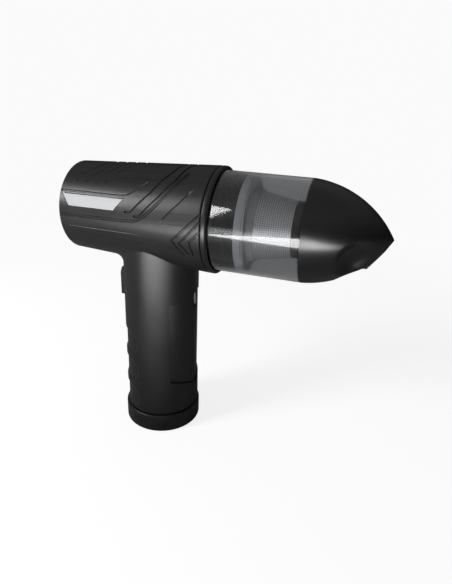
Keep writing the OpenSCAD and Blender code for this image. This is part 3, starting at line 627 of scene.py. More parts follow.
FINISHES: dict[str, Finish] = {
    "shell_black": Moulding("satin_black_casing", (0.0085, 0.0086, 0.009), 0.36),
    "panel_black": Moulding("matt_black_panel", (0.009, 0.0091, 0.0095), 0.42, grain=0.00002),
    "trim_black": Moulding("satin_black_trim", (0.007, 0.0071, 0.0075), 0.32),
    "button_black": Moulding("satin_black_button", (0.009, 0.0091, 0.0095), 0.38),
    "nozzle_black": Moulding("smooth_black_nozzle", (0.0045, 0.0046, 0.0049), 0.25, grain=0.000004),
    "inner_black": Moulding("black_inner_moulding", (0.022, 0.022, 0.024), 0.5),
    "inner_white": Moulding("ivory_inner_moulding", (0.62, 0.6, 0.54), 0.5),
    "impeller_grey": Moulding("grey_impeller", (0.1, 0.1, 0.11), 0.4),
    "filter_plastic": Moulding("pale_grey_filter_frame", (0.36, 0.365, 0.37), 0.45),
    "lead_red": Moulding("red_lead_insulation", (0.5, 0.03, 0.025), 0.35),
    "badge_silver": BrushedMetal("brushed_aluminium_badge", (0.40, 0.405, 0.41), 0.66, lines=(0.03, 1.0, 1.0)),
    "steel": BrushedMetal("brushed_steel", (0.56, 0.57, 0.58), 0.3),
    "bronze": BrushedMetal("sintered_bronze", (0.55, 0.38, 0.2), 0.45),
    "copper": BrushedMetal("enamelled_copper", (0.62, 0.27, 0.12), 0.3, lines=(1.0, 1.0, 1.0)),
    "magnet": BrushedMetal("sintered_magnet", (0.14, 0.135, 0.13), 0.6, lines=(1.0, 1.0, 1.0)),
    "cell_wrap": Moulding("blue_cell_wrap", (0.03, 0.16, 0.3), 0.3),
    "smoked_clear": SmokedClear("smoked_clear_cup", (0.34, 0.343, 0.35)),
    "rubber_black": Rubber("black_rubber", (0.018, 0.018, 0.018)),
    "filter_cloth": Fibre("filter_paper", (0.62, 0.62, 0.6)),
    # The gauze's second colour is painted shade in its holes.
    "wire_mesh": WovenWire("woven_wire", (0.72, 0.725, 0.73), (0.05, 0.05, 0.05)),
    "circuit_green": CircuitBoard("circuit_board", (0.01, 0.1, 0.04), (0.03, 0.2, 0.09)),
}


class PaintShop:
    """Builds each finish once and puts it on pieces by the record's slot."""

    def __init__(self) -> None:
        """Builds all finishes."""
        self.materials = {slot: finish.build() for slot, finish in FINISHES.items()}

    def coat(self, obj: bpy.types.Object, slot: str) -> None:
        """Gives a new piece a slot's finish.

        Args:
            obj: The piece.
            slot: The record's material slot.
        """
        obj.data.materials.clear()
        obj.data.materials.append(self.materials[slot])

    def coat_nodes(self, frame: dict) -> None:
        """Gives every CAD node the finish of its own slot.

        Args:
            frame: The loaded frame.
        """
        for part in frame["record"]["subparts"]:
            node = frame["nodes"][part["node"]]
            material = self.materials[part["material_slot"]]
            if not node.material_slots:
                node.data.materials.append(material)
            for slot in node.material_slots:
                slot.material = material


# ---------------------------------------------------------------- the casing


@dataclass
class Barrel:
    """The tapered barrel that the casing's decoration lies on."""

    axis_z: float = 149 * MM
    rear_x: float = -55 * MM
    front_x: float = 38.4 * MM
    rear_r: float = 27.9 * MM
    front_r: float = 32.3 * MM

    def radius(self, x: float) -> float:
        """The barrel's outer radius at a place along it."""
        return self.rear_r + (self.front_r - self.rear_r) * (x - self.rear_x) / (self.front_x - self.rear_x)

    def point(self, x: float, angle: float, lift: float, side: Side) -> Vector:
        """A point near the barrel's side.

        Args:
            x: Place along the barrel.
            angle: Degrees up from the horizontal.
            lift: Distance out of the surface.
            side: The side that the point is on.

        Returns:
            The point in the row frame.
        """
        r = self.radius(x) + lift
        turn = math.radians(angle)
        return Vector((x, side.value * r * math.cos(turn), self.axis_z + r * math.sin(turn)))


@dataclass(frozen=True)
class Course:
    """A line on the barrel's side that a groove or a bead follows, as places (mm along, degrees up)."""

    places: tuple[Place, ...]
    width: float = 0.9
    depth: float = 0.7
    rounds: int = 0
    taper: float = 0.0
    shift: float = 0.0

    def groove(self) -> list[Place]:
        """The cutter's section for a groove with sloping shoulders."""
        half, lip, top = self.width / 2 * MM, (self.width / 2 + 0.22) * MM, 0.8 * MM
        depth = -self.depth * MM
        edge = [(-lip, top), (-lip, 0.01 * MM), (-half, 0.65 * depth), (-0.55 * half, depth)]
        return edge + [(-a, h) for a, h in reversed(edge)]

    def bead(self) -> list[Place]:
        """The section of a rounded bead that stands on the surface."""
        half, foot = self.width / 2 * MM, -0.8 * MM
        height = self.depth * MM
        edge = [(-half, foot), (-half, 0.0), (-0.7 * half, 0.62 * height), (-0.3 * half, 0.95 * height)]
        return edge + [(-a, h) for a, h in reversed(edge)]

    def flat(self, barrel: Barrel, step: float = 1.0 * MM) -> list[Vector]:
        """The line on the unrolled barrel, in short steps.

        Args:
            barrel: The barrel it lies on.
            step: Longest step in metres.

        Returns:
            Points (along, round) in metres.
        """
        line = [Vector((x * MM, barrel.radius(x * MM) * math.radians(a))) for x, a in self.places]
        for _ in range(self.rounds):
            cut = [line[0]]
            for a, b in zip(line, line[1:]):
                cut += [a.lerp(b, 0.25), a.lerp(b, 0.75)]
            line = cut[:1] + cut[2:-1] + [line[-1]]
        points = [line[0]]
        for a, b in zip(line, line[1:]):
            parts = max(1, math.ceil((b - a).length / step))
            points += [a.lerp(b, i / parts) for i in range(1, parts + 1)]
        return points

    def bar(self, name: str, barrel: Barrel, side: Side, section: list[Place], sunk: bool) -> bpy.types.Object:
        """A closed bar along the line.

        Args:
            name: The bar's name.
            barrel: The barrel it lies on.
            side: The side it lies on.
            section: Its section, as (across, out of the surface).
            sunk: True for a groove, whose floor rises to the surface where it runs out.

        Returns:
            The new object.
        """
        line = self.flat(barrel)
        lengths = [0.0]
        for a, b in zip(line, line[1:]):
            lengths.append(lengths[-1] + (b - a).length)
        points: list[Vector] = []
        for i, place in enumerate(line):
            before = (place - line[i - 1]).normalized() if i else (line[1] - place).normalized()
            after = (line[i + 1] - place).normalized() if i < len(line) - 1 else before
            way = (before + after).normalized()
            across = Vector((-way.y, way.x)) / max(0.5, way.dot(after))
            room = min(lengths[i], lengths[-1] - lengths[i])
            fade = smooth_step(room / (self.taper * MM)) if self.taper else 1.0
            for a, h in section:
                spot = place + across * (a + self.shift * MM)
                fades = h < 0 if sunk else h > 0
                lift = h * fade + (0.05 if sunk else -0.05) * MM * (1 - fade) if fades else h
                angle = math.degrees(spot.y / barrel.radius(place.x))
                points.append(barrel.point(spot.x, angle, lift, side))
        count = len(section)
        faces = [tuple(range(count)), tuple(range(len(points) - count, len(points)))]
        for i in range(len(line) - 1):
            for k in range(count):
                a, b = i * count + k, i * count + (k + 1) % count
                faces.append((a, b, b + count, a + count))
        return from_faces(name, points, faces)


@dataclass
class Casing:
    """Both halves of the casing, with the barrel's decoration, the fillet behind the handle and the finger grips."""

    barrel: Barrel = field(default_factory=Barrel)
    wall: float = 2.2 * MM
    outlet_bore_r: float = 25.7 * MM
    outlet_depth: float = 6 * MM
    rebate_x: float = 30.9 * MM
    rebate_r: float = 29.6 * MM
    rim: float = 0.9 * MM
    foot_z: float = 13.4 * MM
    foot_r: float = 25 * MM
    top_z: float = 137 * MM
    top_r: float = 24.4 * MM
    neck_r: float = 24 * MM
    neck_z: float = 3.1 * MM
    bore_r: float = 22.5 * MM
    grip_z: tuple[float, ...] = (23 * MM, 43.8 * MM, 64.6 * MM)
    grip_r: float = 8.5 * MM
    grip_x: float = -15 * MM
    grip_depth: float = 0.85 * MM
    grip_edge: float = 1.7 * MM
    fillet_rear: float = 6.5 * MM
    fillet_front: float = 0.7 * MM
    panel: tuple[float, float, float, float] = (30.6 * MM, 102.7 * MM, 8 * MM, 19.83 * MM)
    button: tuple[float, float, float] = (101.5 * MM, 19.6 * MM, 11 * MM)
    seam: float = 0.05 * MM
    screws: tuple[Place, ...] = ((-42, 170.5), (-42, 127.5), (4, 172.5), (2, 118))
    screw_head_r: float = 2.6 * MM
    screw_land: float = 3 * MM

    upper: Course = Course(((-54.4, 29.5), (-12.2, 28.4), (-7.8, 29.9), (-4.1, 35.8), (2.5, 47)), 0.8, 0.7, rounds=2)
    ridge: tuple[Place, ...] = (
        (-54.4, -0.3),
        (-6.2, 1.2),
        (-0.1, 3.9),
        (5.8, 12.3),
        (14.3, 29.9),
        (21.6, 50.9),
        (25.4, 66),
    )
    low: Course = Course(((-54.2, -15.2), (3.7, -12.8)), 0.9, 0.2, taper=8)
    cross: tuple[Course, ...] = (
        Course(((-9, 11.5), (-4.6, 12.4), (5.8, 34.3), (14.2, 62.6), (18.5, 92)), 0.9, 0.8),
        Course(((-3, 8), (0.9, 8.7), (11.4, 30.8), (19, 52.5), (24.5, 92)), 0.9, 0.8),
        Course(((13.9, 2.3), (17.3, 11.4), (25.3, 26.8), (32, 43.5)), 1.0, 0.7, taper=5),
    )
    chevrons: tuple[Course, ...] = (
        Course(((38.6, 18.5), (21.5, -12.1), (28, -28.9)), 0.9, 0.75),
        Course(((38.6, 10.5), (26, -14), (31.2, -26.1)), 0.9, 0.75),
        Course(((38.6, 1), (32.3, -11.4), (34, -26.5)), 0.9, 0.75),
    )
    streaks: int = 4
    streak_first: float = -46
    streak_pitch: float = 6.8

    def grip_sink(self, z: float, x: float) -> float:
        """How deep the finger grips lie at a place on the back of the handle."""
        sink = 0.0
        for centre in self.grip_z:
            away = abs(z - centre) if x < self.grip_x else math.hypot(x - self.grip_x, z - centre)
            sink = max(sink, smooth_step((self.grip_r - away) / self.grip_edge))
        return sink * self.grip_depth

    def handle_point(self, round_share: float, up_share: float) -> Vector:
        """A point on the handle's outer surface."""
        turn = math.tau * round_share
        z = self.foot_z + (self.top_z - self.foot_z) * up_share
        r = self.foot_r + (self.top_r - self.foot_r) * up_share
        r -= self.grip_sink(z, r * math.cos(turn)) + max(0.0, 0.5 * MM - (z - self.foot_z)) * 0.8
        return Vector((r * math.cos(turn), r * math.sin(turn), z))

    def fillet_radius(self, turn: float) -> float:
        """The fillet's radius round the handle: generous behind, a crisp crease in front."""
        share = smooth_step((-math.cos(turn) + 0.12) / 0.5)
        return self.fillet_front + (self.fillet_rear - self.fillet_front) * share

    def fillet(self, steps: int = 240, arc: int = 10, spill: float = 0.1) -> bpy.types.Object:
        """The ring that rounds the corner between the handle and the barrel.

        Args:
            steps: Sections round the handle.
            arc: Facets in each section's arc.
            spill: Share by which the arc runs on into both surfaces.

        Returns:
            The new object.
        """
        points: list[Vector] = []
        depth = 4 * MM
        for i in range(steps):
            turn = math.tau * i / steps
            ball = self.fillet_radius(turn)
            out = Vector((math.cos(turn), math.sin(turn), 0))
            centre = out * (self.top_r + ball)
            reach = self.barrel.radius(centre.x) + ball
            centre.z = self.barrel.axis_z - math.sqrt(reach**2 - centre.y**2)
            to_handle = -out
            to_barrel = Vector((0, -centre.y, self.barrel.axis_z - centre.z)) / reach
            angle = math.acos(max(-1.0, min(1.0, to_handle.dot(to_barrel))))
            section = []
            for k in range(arc + 1):
                t = -spill + (1 + 2 * spill) * k / arc
                way = (to_handle * math.sin((1 - t) * angle) + to_barrel * math.sin(t * angle)) / math.sin(angle)
                section.append(centre + way * ball)
            high = section[-1] + to_barrel * depth
            low = section[0] + to_handle * depth
            section += [high, Vector((low.x, low.y, high.z)), low]
            points += section
        count = arc + 4
        faces = []
        for i in range(steps):
            for k in range(count):
                a, b = i * count + k, i * count + (k + 1) % count
                c, d = ((i + 1) % steps) * count + (k + 1) % count, ((i + 1) % steps) * count + k
                faces.append((a, b, c, d))
        return from_faces("fillet", points, faces)

    def blank(self) -> bpy.types.Object:
        """The casing's outer form as one solid body, before its bores are cut."""
        barrel = self.barrel
        middle = (barrel.rear_x + barrel.front_x) / 2
        bpy.ops.object.select_all(action="DESELECT")
        bpy.ops.mesh.primitive_cone_add(
            vertices=320,
            radius1=barrel.rear_r,
            radius2=barrel.front_r,
            depth=barrel.front_x - barrel.rear_x,
            location=(middle, 0, barrel.axis_z),
            rotation=(0, math.pi / 2, 0),
        )
        body = bpy.context.active_object
        body.name = body.data.name = "casing"
        bpy.ops.object.transform_apply(location=True, rotation=True, scale=True)
        for edge in body.data.edges:
            ends = [body.data.vertices[i].co.x for i in edge.vertices]
            edge.select = max(ends) < barrel.rear_x + 0.1 * MM
        bpy.ops.object.mode_set(mode="EDIT")
        bpy.ops.mesh.bevel(offset=self.rim, segments=4, affect="EDGES")
        bpy.ops.object.mode_set(mode="OBJECT")
        combine(body, formed("handle", 288, 150, self.handle_point), Joining.ADD)
        foot = self.foot_z + 3 * MM
        neck = [(self.neck_z, 0), (self.neck_z, self.neck_r), (foot, self.neck_r), (foot, 0)]
        combine(body, turned("neck", neck, Axis.HANDLE), Joining.ADD)
        combine(body, self.fillet(), Joining.ADD)
        return body

    def hollow(self, body: bpy.types.Object) -> None:
        """Cuts the barrel's and the handle's bores."""
        barrel = self.barrel
        step_x = barrel.rear_x + self.outlet_depth
        over = 1 * MM
        bore = [
            (barrel.rear_x - over, 0),
            (barrel.rear_x - over, self.outlet_bore_r),
            (step_x, self.outlet_bore_r),
            (self.rebate_x, barrel.radius(self.rebate_x) - self.wall),
            (self.rebate_x, self.rebate_r),
            (barrel.front_x + over, self.rebate_r),
            (barrel.front_x + over, 0),
        ]
        combine(body, turned("barrel_bore", bore, Axis.BARREL, barrel.axis_z), Joining.CUT)
        shaft = [(0, 0), (0, self.bore_r), (barrel.axis_z, self.bore_r), (barrel.axis_z, 0)]
        combine(body, turned("handle_bore", shaft, Axis.HANDLE), Joining.CUT)

    def windows(self, body: bpy.types.Object) -> None:
        """Cuts the openings for the front panel and the button."""
        bottom, top, slope, reach = self.panel
        outline = [(-reach, bottom + slope), (0, bottom), (reach, bottom + slope)]
        outline += [(reach, top - slope), (0, top), (-reach, top - slope)]
        frame = Matrix(((0, 0, 1, 0), (1, 0, 0, 0), (0, 1, 0, 0), (0, 0, 0, 1)))
        combine(body, prism("panel_window", outline, 8 * MM, 40 * MM, frame), Joining.CUT)
        middle, height, width = self.button
        room = 0.3 * MM
        low = Vector((-30 * MM, -width / 2 - room, middle - height / 2 - room))
        high = Vector((-15 * MM, width / 2 + room, middle + height / 2 + room))
        combine(body, block("button_window", low, high), Joining.CUT)

    def decorate(self, shell: bpy.types.Object, side: Side) -> None:
        """Raises the beads and cuts the grooves of one half.

        Args:
            shell: The half.
            side: The side it is on.
        """
        for shift in (-0.62, 0.62):
            line = Course(self.ridge, 0.8, 0.55, rounds=2, taper=2, shift=shift)
            combine(shell, line.bar("bead", self.barrel, side, line.bead(), False), Joining.ADD)
        combine(shell, self.low.bar("bead", self.barrel, side, self.low.bead(), False), Joining.ADD)
        streaks = []
        for i in range(self.streaks):
            x = self.streak_first + i * self.streak_pitch
            streaks.append(Course(((x, 40.5), (x + 18, 91.7)), 1.4, 0.3, taper=2.5))
        for line in (self.upper, *self.cross, *self.chevrons, *streaks):
            combine(shell, line.bar("groove", self.barrel, side, line.groove(), True), Joining.CUT)

    def half(self, body: bpy.types.Object, side: Side, name: str) -> bpy.types.Object:
        """One half of the finished casing.

        Args:
            body: The whole casing.
            side: The half that is wanted.
            name: The half's name.

        Returns:
            The new object.
        """
        shell = bpy.data.objects.new(name, body.data.copy())
        shell.data.name = name
        bpy.context.collection.objects.link(shell)
        far = 80 * MM
        ends = sorted((side.value * self.seam, side.value * far))
        low, high = Vector((-far, ends[0], -10 * MM)), Vector((far, ends[1], 260 * MM))
        combine(shell, block("half_space", low, high), Joining.KEEP_COMMON)
        return shell

    def build(self, shop: PaintShop) -> list[bpy.types.Object]:
        """Builds both halves.

        Args:
            shop: Where finishes come from.

        Returns:
            The right and the left half.
        """
        body = self.blank()
        self.hollow(body)
        self.windows(body)
        right = self.half(body, Side.RIGHT, "casing_right")
        left = self.half(body, Side.LEFT, "casing_left")
        bpy.data.objects.remove(body, do_unlink=True)
        combine(right, Badge(self.barrel).pocket(), Joining.CUT)
        for x, z in self.screws:
            start = Vector((x * MM, self.screw_land, z * MM))
            end = start + Vector((0, 60 * MM, 0))
            combine(left, rod("screw_pocket", start, end, self.screw_head_r), Joining.CUT)
        self.decorate(right, Side.RIGHT)
        self.decorate(left, Side.LEFT)
        for shell, node in ((right, "right_shell"), (left, "left_shell")):
            soften(shell, 30)
            finish_with(shell, "WEIGHTED_NORMAL", keep_sharp=True, weight=80)
            shop.coat(shell, "shell_black")
            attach(shell, "body")
            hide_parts(node)
        return [right, left]


@dataclass
class Badge:
    """The bare metal plate on the right side of the barrel, in its pocket."""

    barrel: Barrel = field(default_factory=Barrel)
    middle: float = 18.2
    half_height: float = 3.6 * MM
    top: tuple[float, float] = (-52.8 * MM, -10.7 * MM)
    bottom: tuple[float, float] = (-47.7 * MM, -16.6 * MM)
    pocket_depth: float = 0.75 * MM
    plate_low: float = -0.55 * MM
    plate_high: float = 0.1 * MM

    def sheet(
        self, name: str, grow: float, low: float, high: float, columns: int = 60, rows: int = 10
    ) -> bpy.types.Object:
        """A solid that follows the barrel's side within the badge's outline.

        Args:
            name: The solid's name.
            grow: How far its outline is grown.
            low: Height of its underside over the barrel's surface.
            high: Height of its face over the barrel's surface.
            columns: Faces along it.
            rows: Faces across it.

        Returns:
            The new object.
        """
        points = []
        for lift in (low, high):
            for j in range(rows + 1):
                up = (2 * j / rows - 1) * (self.half_height + grow)
                share = (up / self.half_height + 1) / 2
                start = self.bottom[0] + (self.top[0] - self.bottom[0]) * share - grow
                end = self.bottom[1] + (self.top[1] - self.bottom[1]) * share + grow * 1.3
                for i in range(columns + 1):
                    x = start + (end - start) * i / columns
                    angle = self.middle + math.degrees(up / self.barrel.radius(x))
                    points.append(self.barrel.point(x, angle, lift, Side.RIGHT))
        layer = (columns + 1) * (rows + 1)
        faces = []
        for j in range(rows):
            for i in range(columns):
                a = j * (columns + 1) + i
                quad = (a, a + 1, a + columns + 2, a + columns + 1)
                faces += [quad, tuple(layer + k for k in quad)]
        rim = list(range(columns + 1))
        rim += [j * (columns + 1) + columns for j in range(1, rows + 1)]
        rim += [rows * (columns + 1) + i for i in range(columns - 1, -1, -1)]
        rim += [j * (columns + 1) for j in range(rows - 1, 0, -1)]
        for a, b in zip(rim, rim[1:] + rim[:1]):
            faces.append((a, b, layer + b, layer + a))
        return from_faces(name, points, faces)

    def pocket(self) -> bpy.types.Object:
        """The cutter for the plate's pocket."""
        return self.sheet("badge_pocket", 0.35 * MM, -self.pocket_depth, 1 * MM)

    def build(self, shop: PaintShop) -> bpy.types.Object:
        """Builds the plate.

        Args:
            shop: Where finishes come from.

        Returns:
            The plate.
        """
        plate = self.sheet("badge", 0.0, self.plate_low, self.plate_high)
        finish_with(plate, "BEVEL", width=0.2 * MM, segments=3, limit_method="ANGLE", angle_limit=math.radians(50))
        soften(plate, 30)
        shop.coat(plate, "badge_silver")
        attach(plate, "body")
        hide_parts("badge_plate")
        return plate


# ---------------------------------------------------------------- grip, outlet and small mouldings


@dataclass(frozen=True)
class Moulded:
    """A CAD node that is shown with rounded edges."""

    node: str
    name: str
    body: str
    slot: str
    edge: float = 0.25 * MM

    def build(self, shop: PaintShop) -> bpy.types.Object:
        """Builds the piece.

        Args:
            shop: Where finishes come from.

        Returns:
            The piece.
        """
        piece = moulded_copy(self.node, self.name, self.edge)
        shop.coat(piece, self.slot)
        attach(piece, self.body)
        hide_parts(self.node)
        return piece


MOULDED_PIECES = (
    Moulded("grip_panel", "front_panel", "body", "panel_black", 0.35 * MM),
    Moulded("end_cap", "foot_cap", "body", "panel_black", 0.4 * MM),
    Moulded("power_button", "trigger_button", "button", "button_black", 0.6 * MM),
    Moulded("front_ring", "collar_ring", "body", "trim_black", 0.3 * MM),
    Moulded("rear_cap", "rear_grating", "body", "trim_black", 0.3 * MM),
    Moulded("outlet_grille", "outlet_bars", "body", "trim_black", 0.2 * MM),
    Moulded("charge_port", "charging_socket", "body", "steel", 0.1 * MM),
    Moulded("filter_seat", "filter_spigot", "body", "trim_black", 0.25 * MM),
    Moulded("filter_frame", "filter_skirt", "filter", "filter_plastic", 0.2 * MM),
    Moulded("filter_end_cap", "filter_cap", "filter", "rubber_black", 0.5 * MM),
    Moulded("valve_seat", "flap_seat", "cup", "inner_black", 0.15 * MM),
    Moulded("flap_valve", "rubber_flap", "flap", "rubber_black", 0.12 * MM),
    Moulded("shell_screws", "casing_screws", "body", "steel", 0.15 * MM),
    Moulded("impeller", "fan_impeller", "rotor", "impeller_grey", 0.15 * MM),
)


# ---------------------------------------------------------------- cup, filter and nozzle


@dataclass
class Cup:
    """The smoked clear cup that shows the filter."""

    axis_z: float = 149 * MM
    rear_x: float = 40.1 * MM
    rear_r: float = 30 * MM
    seam_x: float = 93.3 * MM
    seam_r: float = 29.85 * MM
    wall: float = 1.6 * MM
    collar: float = 4 * MM
    collar_r: float = 28.5 * MM

    def build(self, shop: PaintShop) -> bpy.types.Object:
        """Builds the cup.

        Args:
            shop: Where finishes come from.

        Returns:
            The cup.
        """
        inner = self.rear_r - self.wall
        lip = 0.35 * MM
        profile = [
            (self.rear_x, inner + lip),
            (self.rear_x, self.rear_r - lip),
            (self.rear_x + 0.1 * MM, self.rear_r - 0.1 * MM),
            (self.rear_x + lip, self.rear_r),
            (self.seam_x, self.seam_r),
            (self.seam_x, self.collar_r),
            (self.seam_x + self.collar - lip, self.collar_r),
            (self.seam_x + self.collar, self.collar_r - lip),
            (self.seam_x + self.collar, self.collar_r - self.wall),
            (self.seam_x - 0.5 * MM, self.collar_r - self.wall),
            (self.seam_x - 0.6 * MM, inner),
            (self.rear_x + lip, inner),
        ]
        cup = turned("clear_cup", profile, Axis.BARREL, self.axis_z, steps=256)
        soften(cup, 30)
        shop.coat(cup, "smoked_clear")
        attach(cup, "cup")
        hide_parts("dust_cup")
        return cup


@dataclass
class SealBand:
    """The pale band round the spigot's end that the cup slides over."""

    axis_z: float = 149 * MM
    start_x: float = 56.8 * MM
    end_x: float = 60.9 * MM
    inner_r: float = 28.13 * MM
    outer_r: float = 28.34 * MM

    def build(self, shop: PaintShop) -> bpy.types.Object:
        """Builds the band.

        Args:
            shop: Where finishes come from.

        Returns:
            The band.
        """
        edge = 0.06 * MM
        profile = [
            (self.start_x, self.inner_r),
            (self.start_x, self.outer_r - edge),
            (self.start_x + edge, self.outer_r),
            (self.end_x - edge, self.outer_r),
            (self.end_x, self.outer_r - edge),
            (self.end_x, self.inner_r),
        ]
        band = turned("seal_band", profile, Axis.BARREL, self.axis_z)
        soften(band)
        shop.coat(band, "filter_plastic")
        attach(band, "body")
        return band


@dataclass
class Filter:
    """The filter's folded paper and the wire gauze round it."""

    axis_z: float = 149 * MM
    start_x: float = 62.75 * MM
    end_x: float = 86.15 * MM
    base_r: float = 20.5 * MM
    tip_r: float = 16.4 * MM
    gauze: float = 0.25 * MM
    folds: int = 40
    fold_depth: float = 2.3 * MM
    rim_r: float = 28 * MM
    rim_x: float = 61.05 * MM

    def gauze_radius(self, share: float) -> float:
        """The gauze's outer radius at a share of its length."""
        return self.base_r + (self.tip_r - self.base_r) * share

    def build(self, shop: PaintShop) -> list[bpy.types.Object]:
        """Builds the gauze and the paper.

        Args:
            shop: Where finishes come from.

        Returns:
            The gauze and the paper.
        """
        profile = [
            (self.start_x, self.base_r - self.gauze),
            (self.start_x, self.base_r),
            (self.end_x, self.tip_r),
            (self.end_x, self.tip_r - self.gauze),
        ]
        sleeve = turned("wire_gauze", profile, Axis.BARREL, self.axis_z, steps=160)
        soften(sleeve)
        layer = sleeve.data.uv_layers.new(name="UVMap")
        for loop in sleeve.data.loops:
            spot = sleeve.data.vertices[loop.vertex_index].co
            turn = math.atan2(spot.z - self.axis_z, -spot.y)
            layer.data[loop.index].uv = (spot.x, turn * self.base_r * 0.9)
        shop.coat(sleeve, "wire_mesh")
        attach(sleeve, "filter")
        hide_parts("filter_mesh")
        inner, outer, rear, front, edge = 19.7 * MM, self.rim_r, self.rim_x, self.rim_x + 0.9 * MM, 0.3 * MM
        dish = [(rear, inner), (rear, outer), (front - edge, outer), (front, outer - edge), (front, inner)]
        rim = turned("filter_rim", dish, Axis.BARREL, self.axis_z)
        soften(rim)
        shop.coat(rim, "filter_plastic")
        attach(rim, "filter")

        def fold(round_share: float, along: float) -> Vector:
            """A point on the folded paper."""
            turn = math.tau * round_share
            wave = 0.5 - 0.5 * math.cos(self.folds * turn)
            r = self.gauze_radius(along) - self.gauze - 0.1 * MM - self.fold_depth * wave
            x = self.start_x + (self.end_x - self.start_x) * along
            return Vector((x, r * math.cos(turn), self.axis_z + r * math.sin(turn)))

        paper = formed("folded_paper", self.folds * 8, 8, fold)
        soften(paper, 60)
        shop.coat(paper, "filter_cloth")
        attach(paper, "filter")
        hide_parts("filter_pleats")
        return [sleeve, rim, paper]


@dataclass
class Nozzle:
    """The ogive nozzle with its hollow underside and slanted mouth."""

    axis_z: float = 149 * MM
    seam_x: float = 93.3 * MM
    arc_x: float = 89 * MM
    arc_r: float = 59.56 * MM
    arc_drop: float = 29.5 * MM
    wall: float = 1.8 * MM
    mouth: tuple[float, float] = (133 * MM, 139.6 * MM)
    tilt: float = math.radians(54.7)
    mouth_len: float = 14 * MM
    mouth_w: float = 8 * MM
    duct_wall: float = 1.3 * MM
    duct_len: float = 20 * MM
    lip_r: float = 17.1 * MM
    lip_half: float = 6 * MM
    lip_x: float = 116 * MM
    scoop: tuple[float, float, float] = (127.7 * MM, -36.4 * MM, 19.4 * MM)
    pinch: tuple[float, float, float, float] = (130 * MM, 30.5 * MM, 19 * MM, math.radians(26))
    blend: float = 2.2 * MM
    socket_r: float = 28.6 * MM
    socket_depth: float = 4.3 * MM

    def radius(self, x: float, turn: float, wall: float) -> float:
        """The nozzle's radius at a place.

        Args:
            x: Place along the nozzle.
            turn: Angle up from the horizontal, in radians.
            wall: How far inside the outer surface.

        Returns:
            The distance from the axis.
        """
        arc = self.arc_r - wall
        body = math.sqrt(max(0.0, arc**2 - (x - self.arc_x) ** 2)) - self.arc_drop
        down = -math.sin(turn)
        if down > 0.3 and x > self.lip_x:
            across = max(abs(math.cos(turn)), 1e-6)
            lip = min(self.lip_r - wall, (self.lip_half - wall) / across)
            body = soft_most(body, lip * smooth_step((down - 0.3) / 0.4), 0.8 * MM)
        scoop_x, scoop_z, scoop_r = self.scoop
        reach = (scoop_r + wall) ** 2 - (x - scoop_x) ** 2
        if down > 0.02 and reach > 0:
            floor = -(scoop_z + math.sqrt(reach))
            body = soft_least(body, floor / down, self.blend)
        pinch_x, pinch_far, pinch_r, pinch_turn = self.pinch
        reach = (pinch_r + wall) ** 2 - (x - pinch_x) ** 2
        towards = abs(math.cos(turn)) * math.cos(pinch_turn) + down * math.sin(pinch_turn)
        off = math.acos(max(-1.0, min(1.0, towards)))
        inside = reach - (pinch_far * math.sin(off)) ** 2
        if down > -0.2 and inside > 0:
            body = soft_least(body, pinch_far * math.cos(off) - math.sqrt(inside), 1.6 * self.blend)
        return max(body, 0.0)

    def form(self, name: str, wall: float, start: float) -> bpy.types.Object:
        """The nozzle's solid form, cut off at the mouth's plane.

        Args:
            name: The solid's name.
            wall: How far inside the outer surface it lies.
            start: Where it starts along the nozzle.

        Returns:
            The new object.
        """
        tip = self.arc_x + math.sqrt((self.arc_r - wall) ** 2 - self.arc_drop**2)

        def shape(round_share: float, along: float) -> Vector:
            """A point on the form."""
            turn = math.tau * round_share
            x = start + (tip - start) * math.sin(along * math.pi / 2)
            r = self.radius(x, turn, wall)
            return Vector((x, -r * math.cos(turn), self.axis_z + r * math.sin(turn)))

        obj = formed(name, 240, 110, shape)
        far = 60 * MM
        square = [(-far, -far), (far, -far), (far, far), (-far, far)]
        combine(obj, prism("mouth_plane", square, -far, wall, self.mouth_frame()), Joining.CUT)
        return obj

    def mouth_frame(self) -> Matrix:
        """The mouth's frame: X up along it, Y across, Z inwards."""
        up = Vector((math.cos(self.tilt), 0, math.sin(self.tilt)))
        inwards = Vector((-math.sin(self.tilt), 0, math.cos(self.tilt)))
        across = inwards.cross(up)
        frame = Matrix((up, across, inwards)).transposed().to_4x4()
        return Matrix.Translation((self.mouth[0], 0, self.mouth[1])) @ frame

    def build(self, shop: PaintShop) -> bpy.types.Object:
        """Builds the nozzle.

        Args:
            shop: Where finishes come from.

        Returns:
            The nozzle.
        """
        nozzle = self.form("nozzle_shell", 0.0, self.seam_x)
        inside = self.form("nozzle_inside", self.wall, self.seam_x - 1 * MM)
        outline = stadium(self.mouth_len + 2 * self.duct_wall, self.mouth_w + 2 * self.duct_wall)
        duct = prism("duct", outline, -5 * MM, self.duct_len, self.mouth_frame())
        combine(inside, duct, Joining.CUT)
        combine(nozzle, inside, Joining.CUT)
        opening = stadium(self.mouth_len, self.mouth_w)
        hole = prism("mouth", opening, -6 * MM, self.duct_len + 6 * MM, self.mouth_frame())
        combine(nozzle, hole, Joining.CUT)
        end = self.seam_x + self.socket_depth
        start = self.seam_x - 1 * MM
        profile = [(start, 0), (start, self.socket_r), (end, self.socket_r), (end, 0)]
        combine(nozzle, turned("cup_socket", profile, Axis.BARREL, self.axis_z), Joining.CUT)
        soften(nozzle, 35)
        shop.coat(nozzle, "nozzle_black")
        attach(nozzle, "cup")
        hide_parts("nozzle")
        return nozzle


# ---------------------------------------------------------------- studio


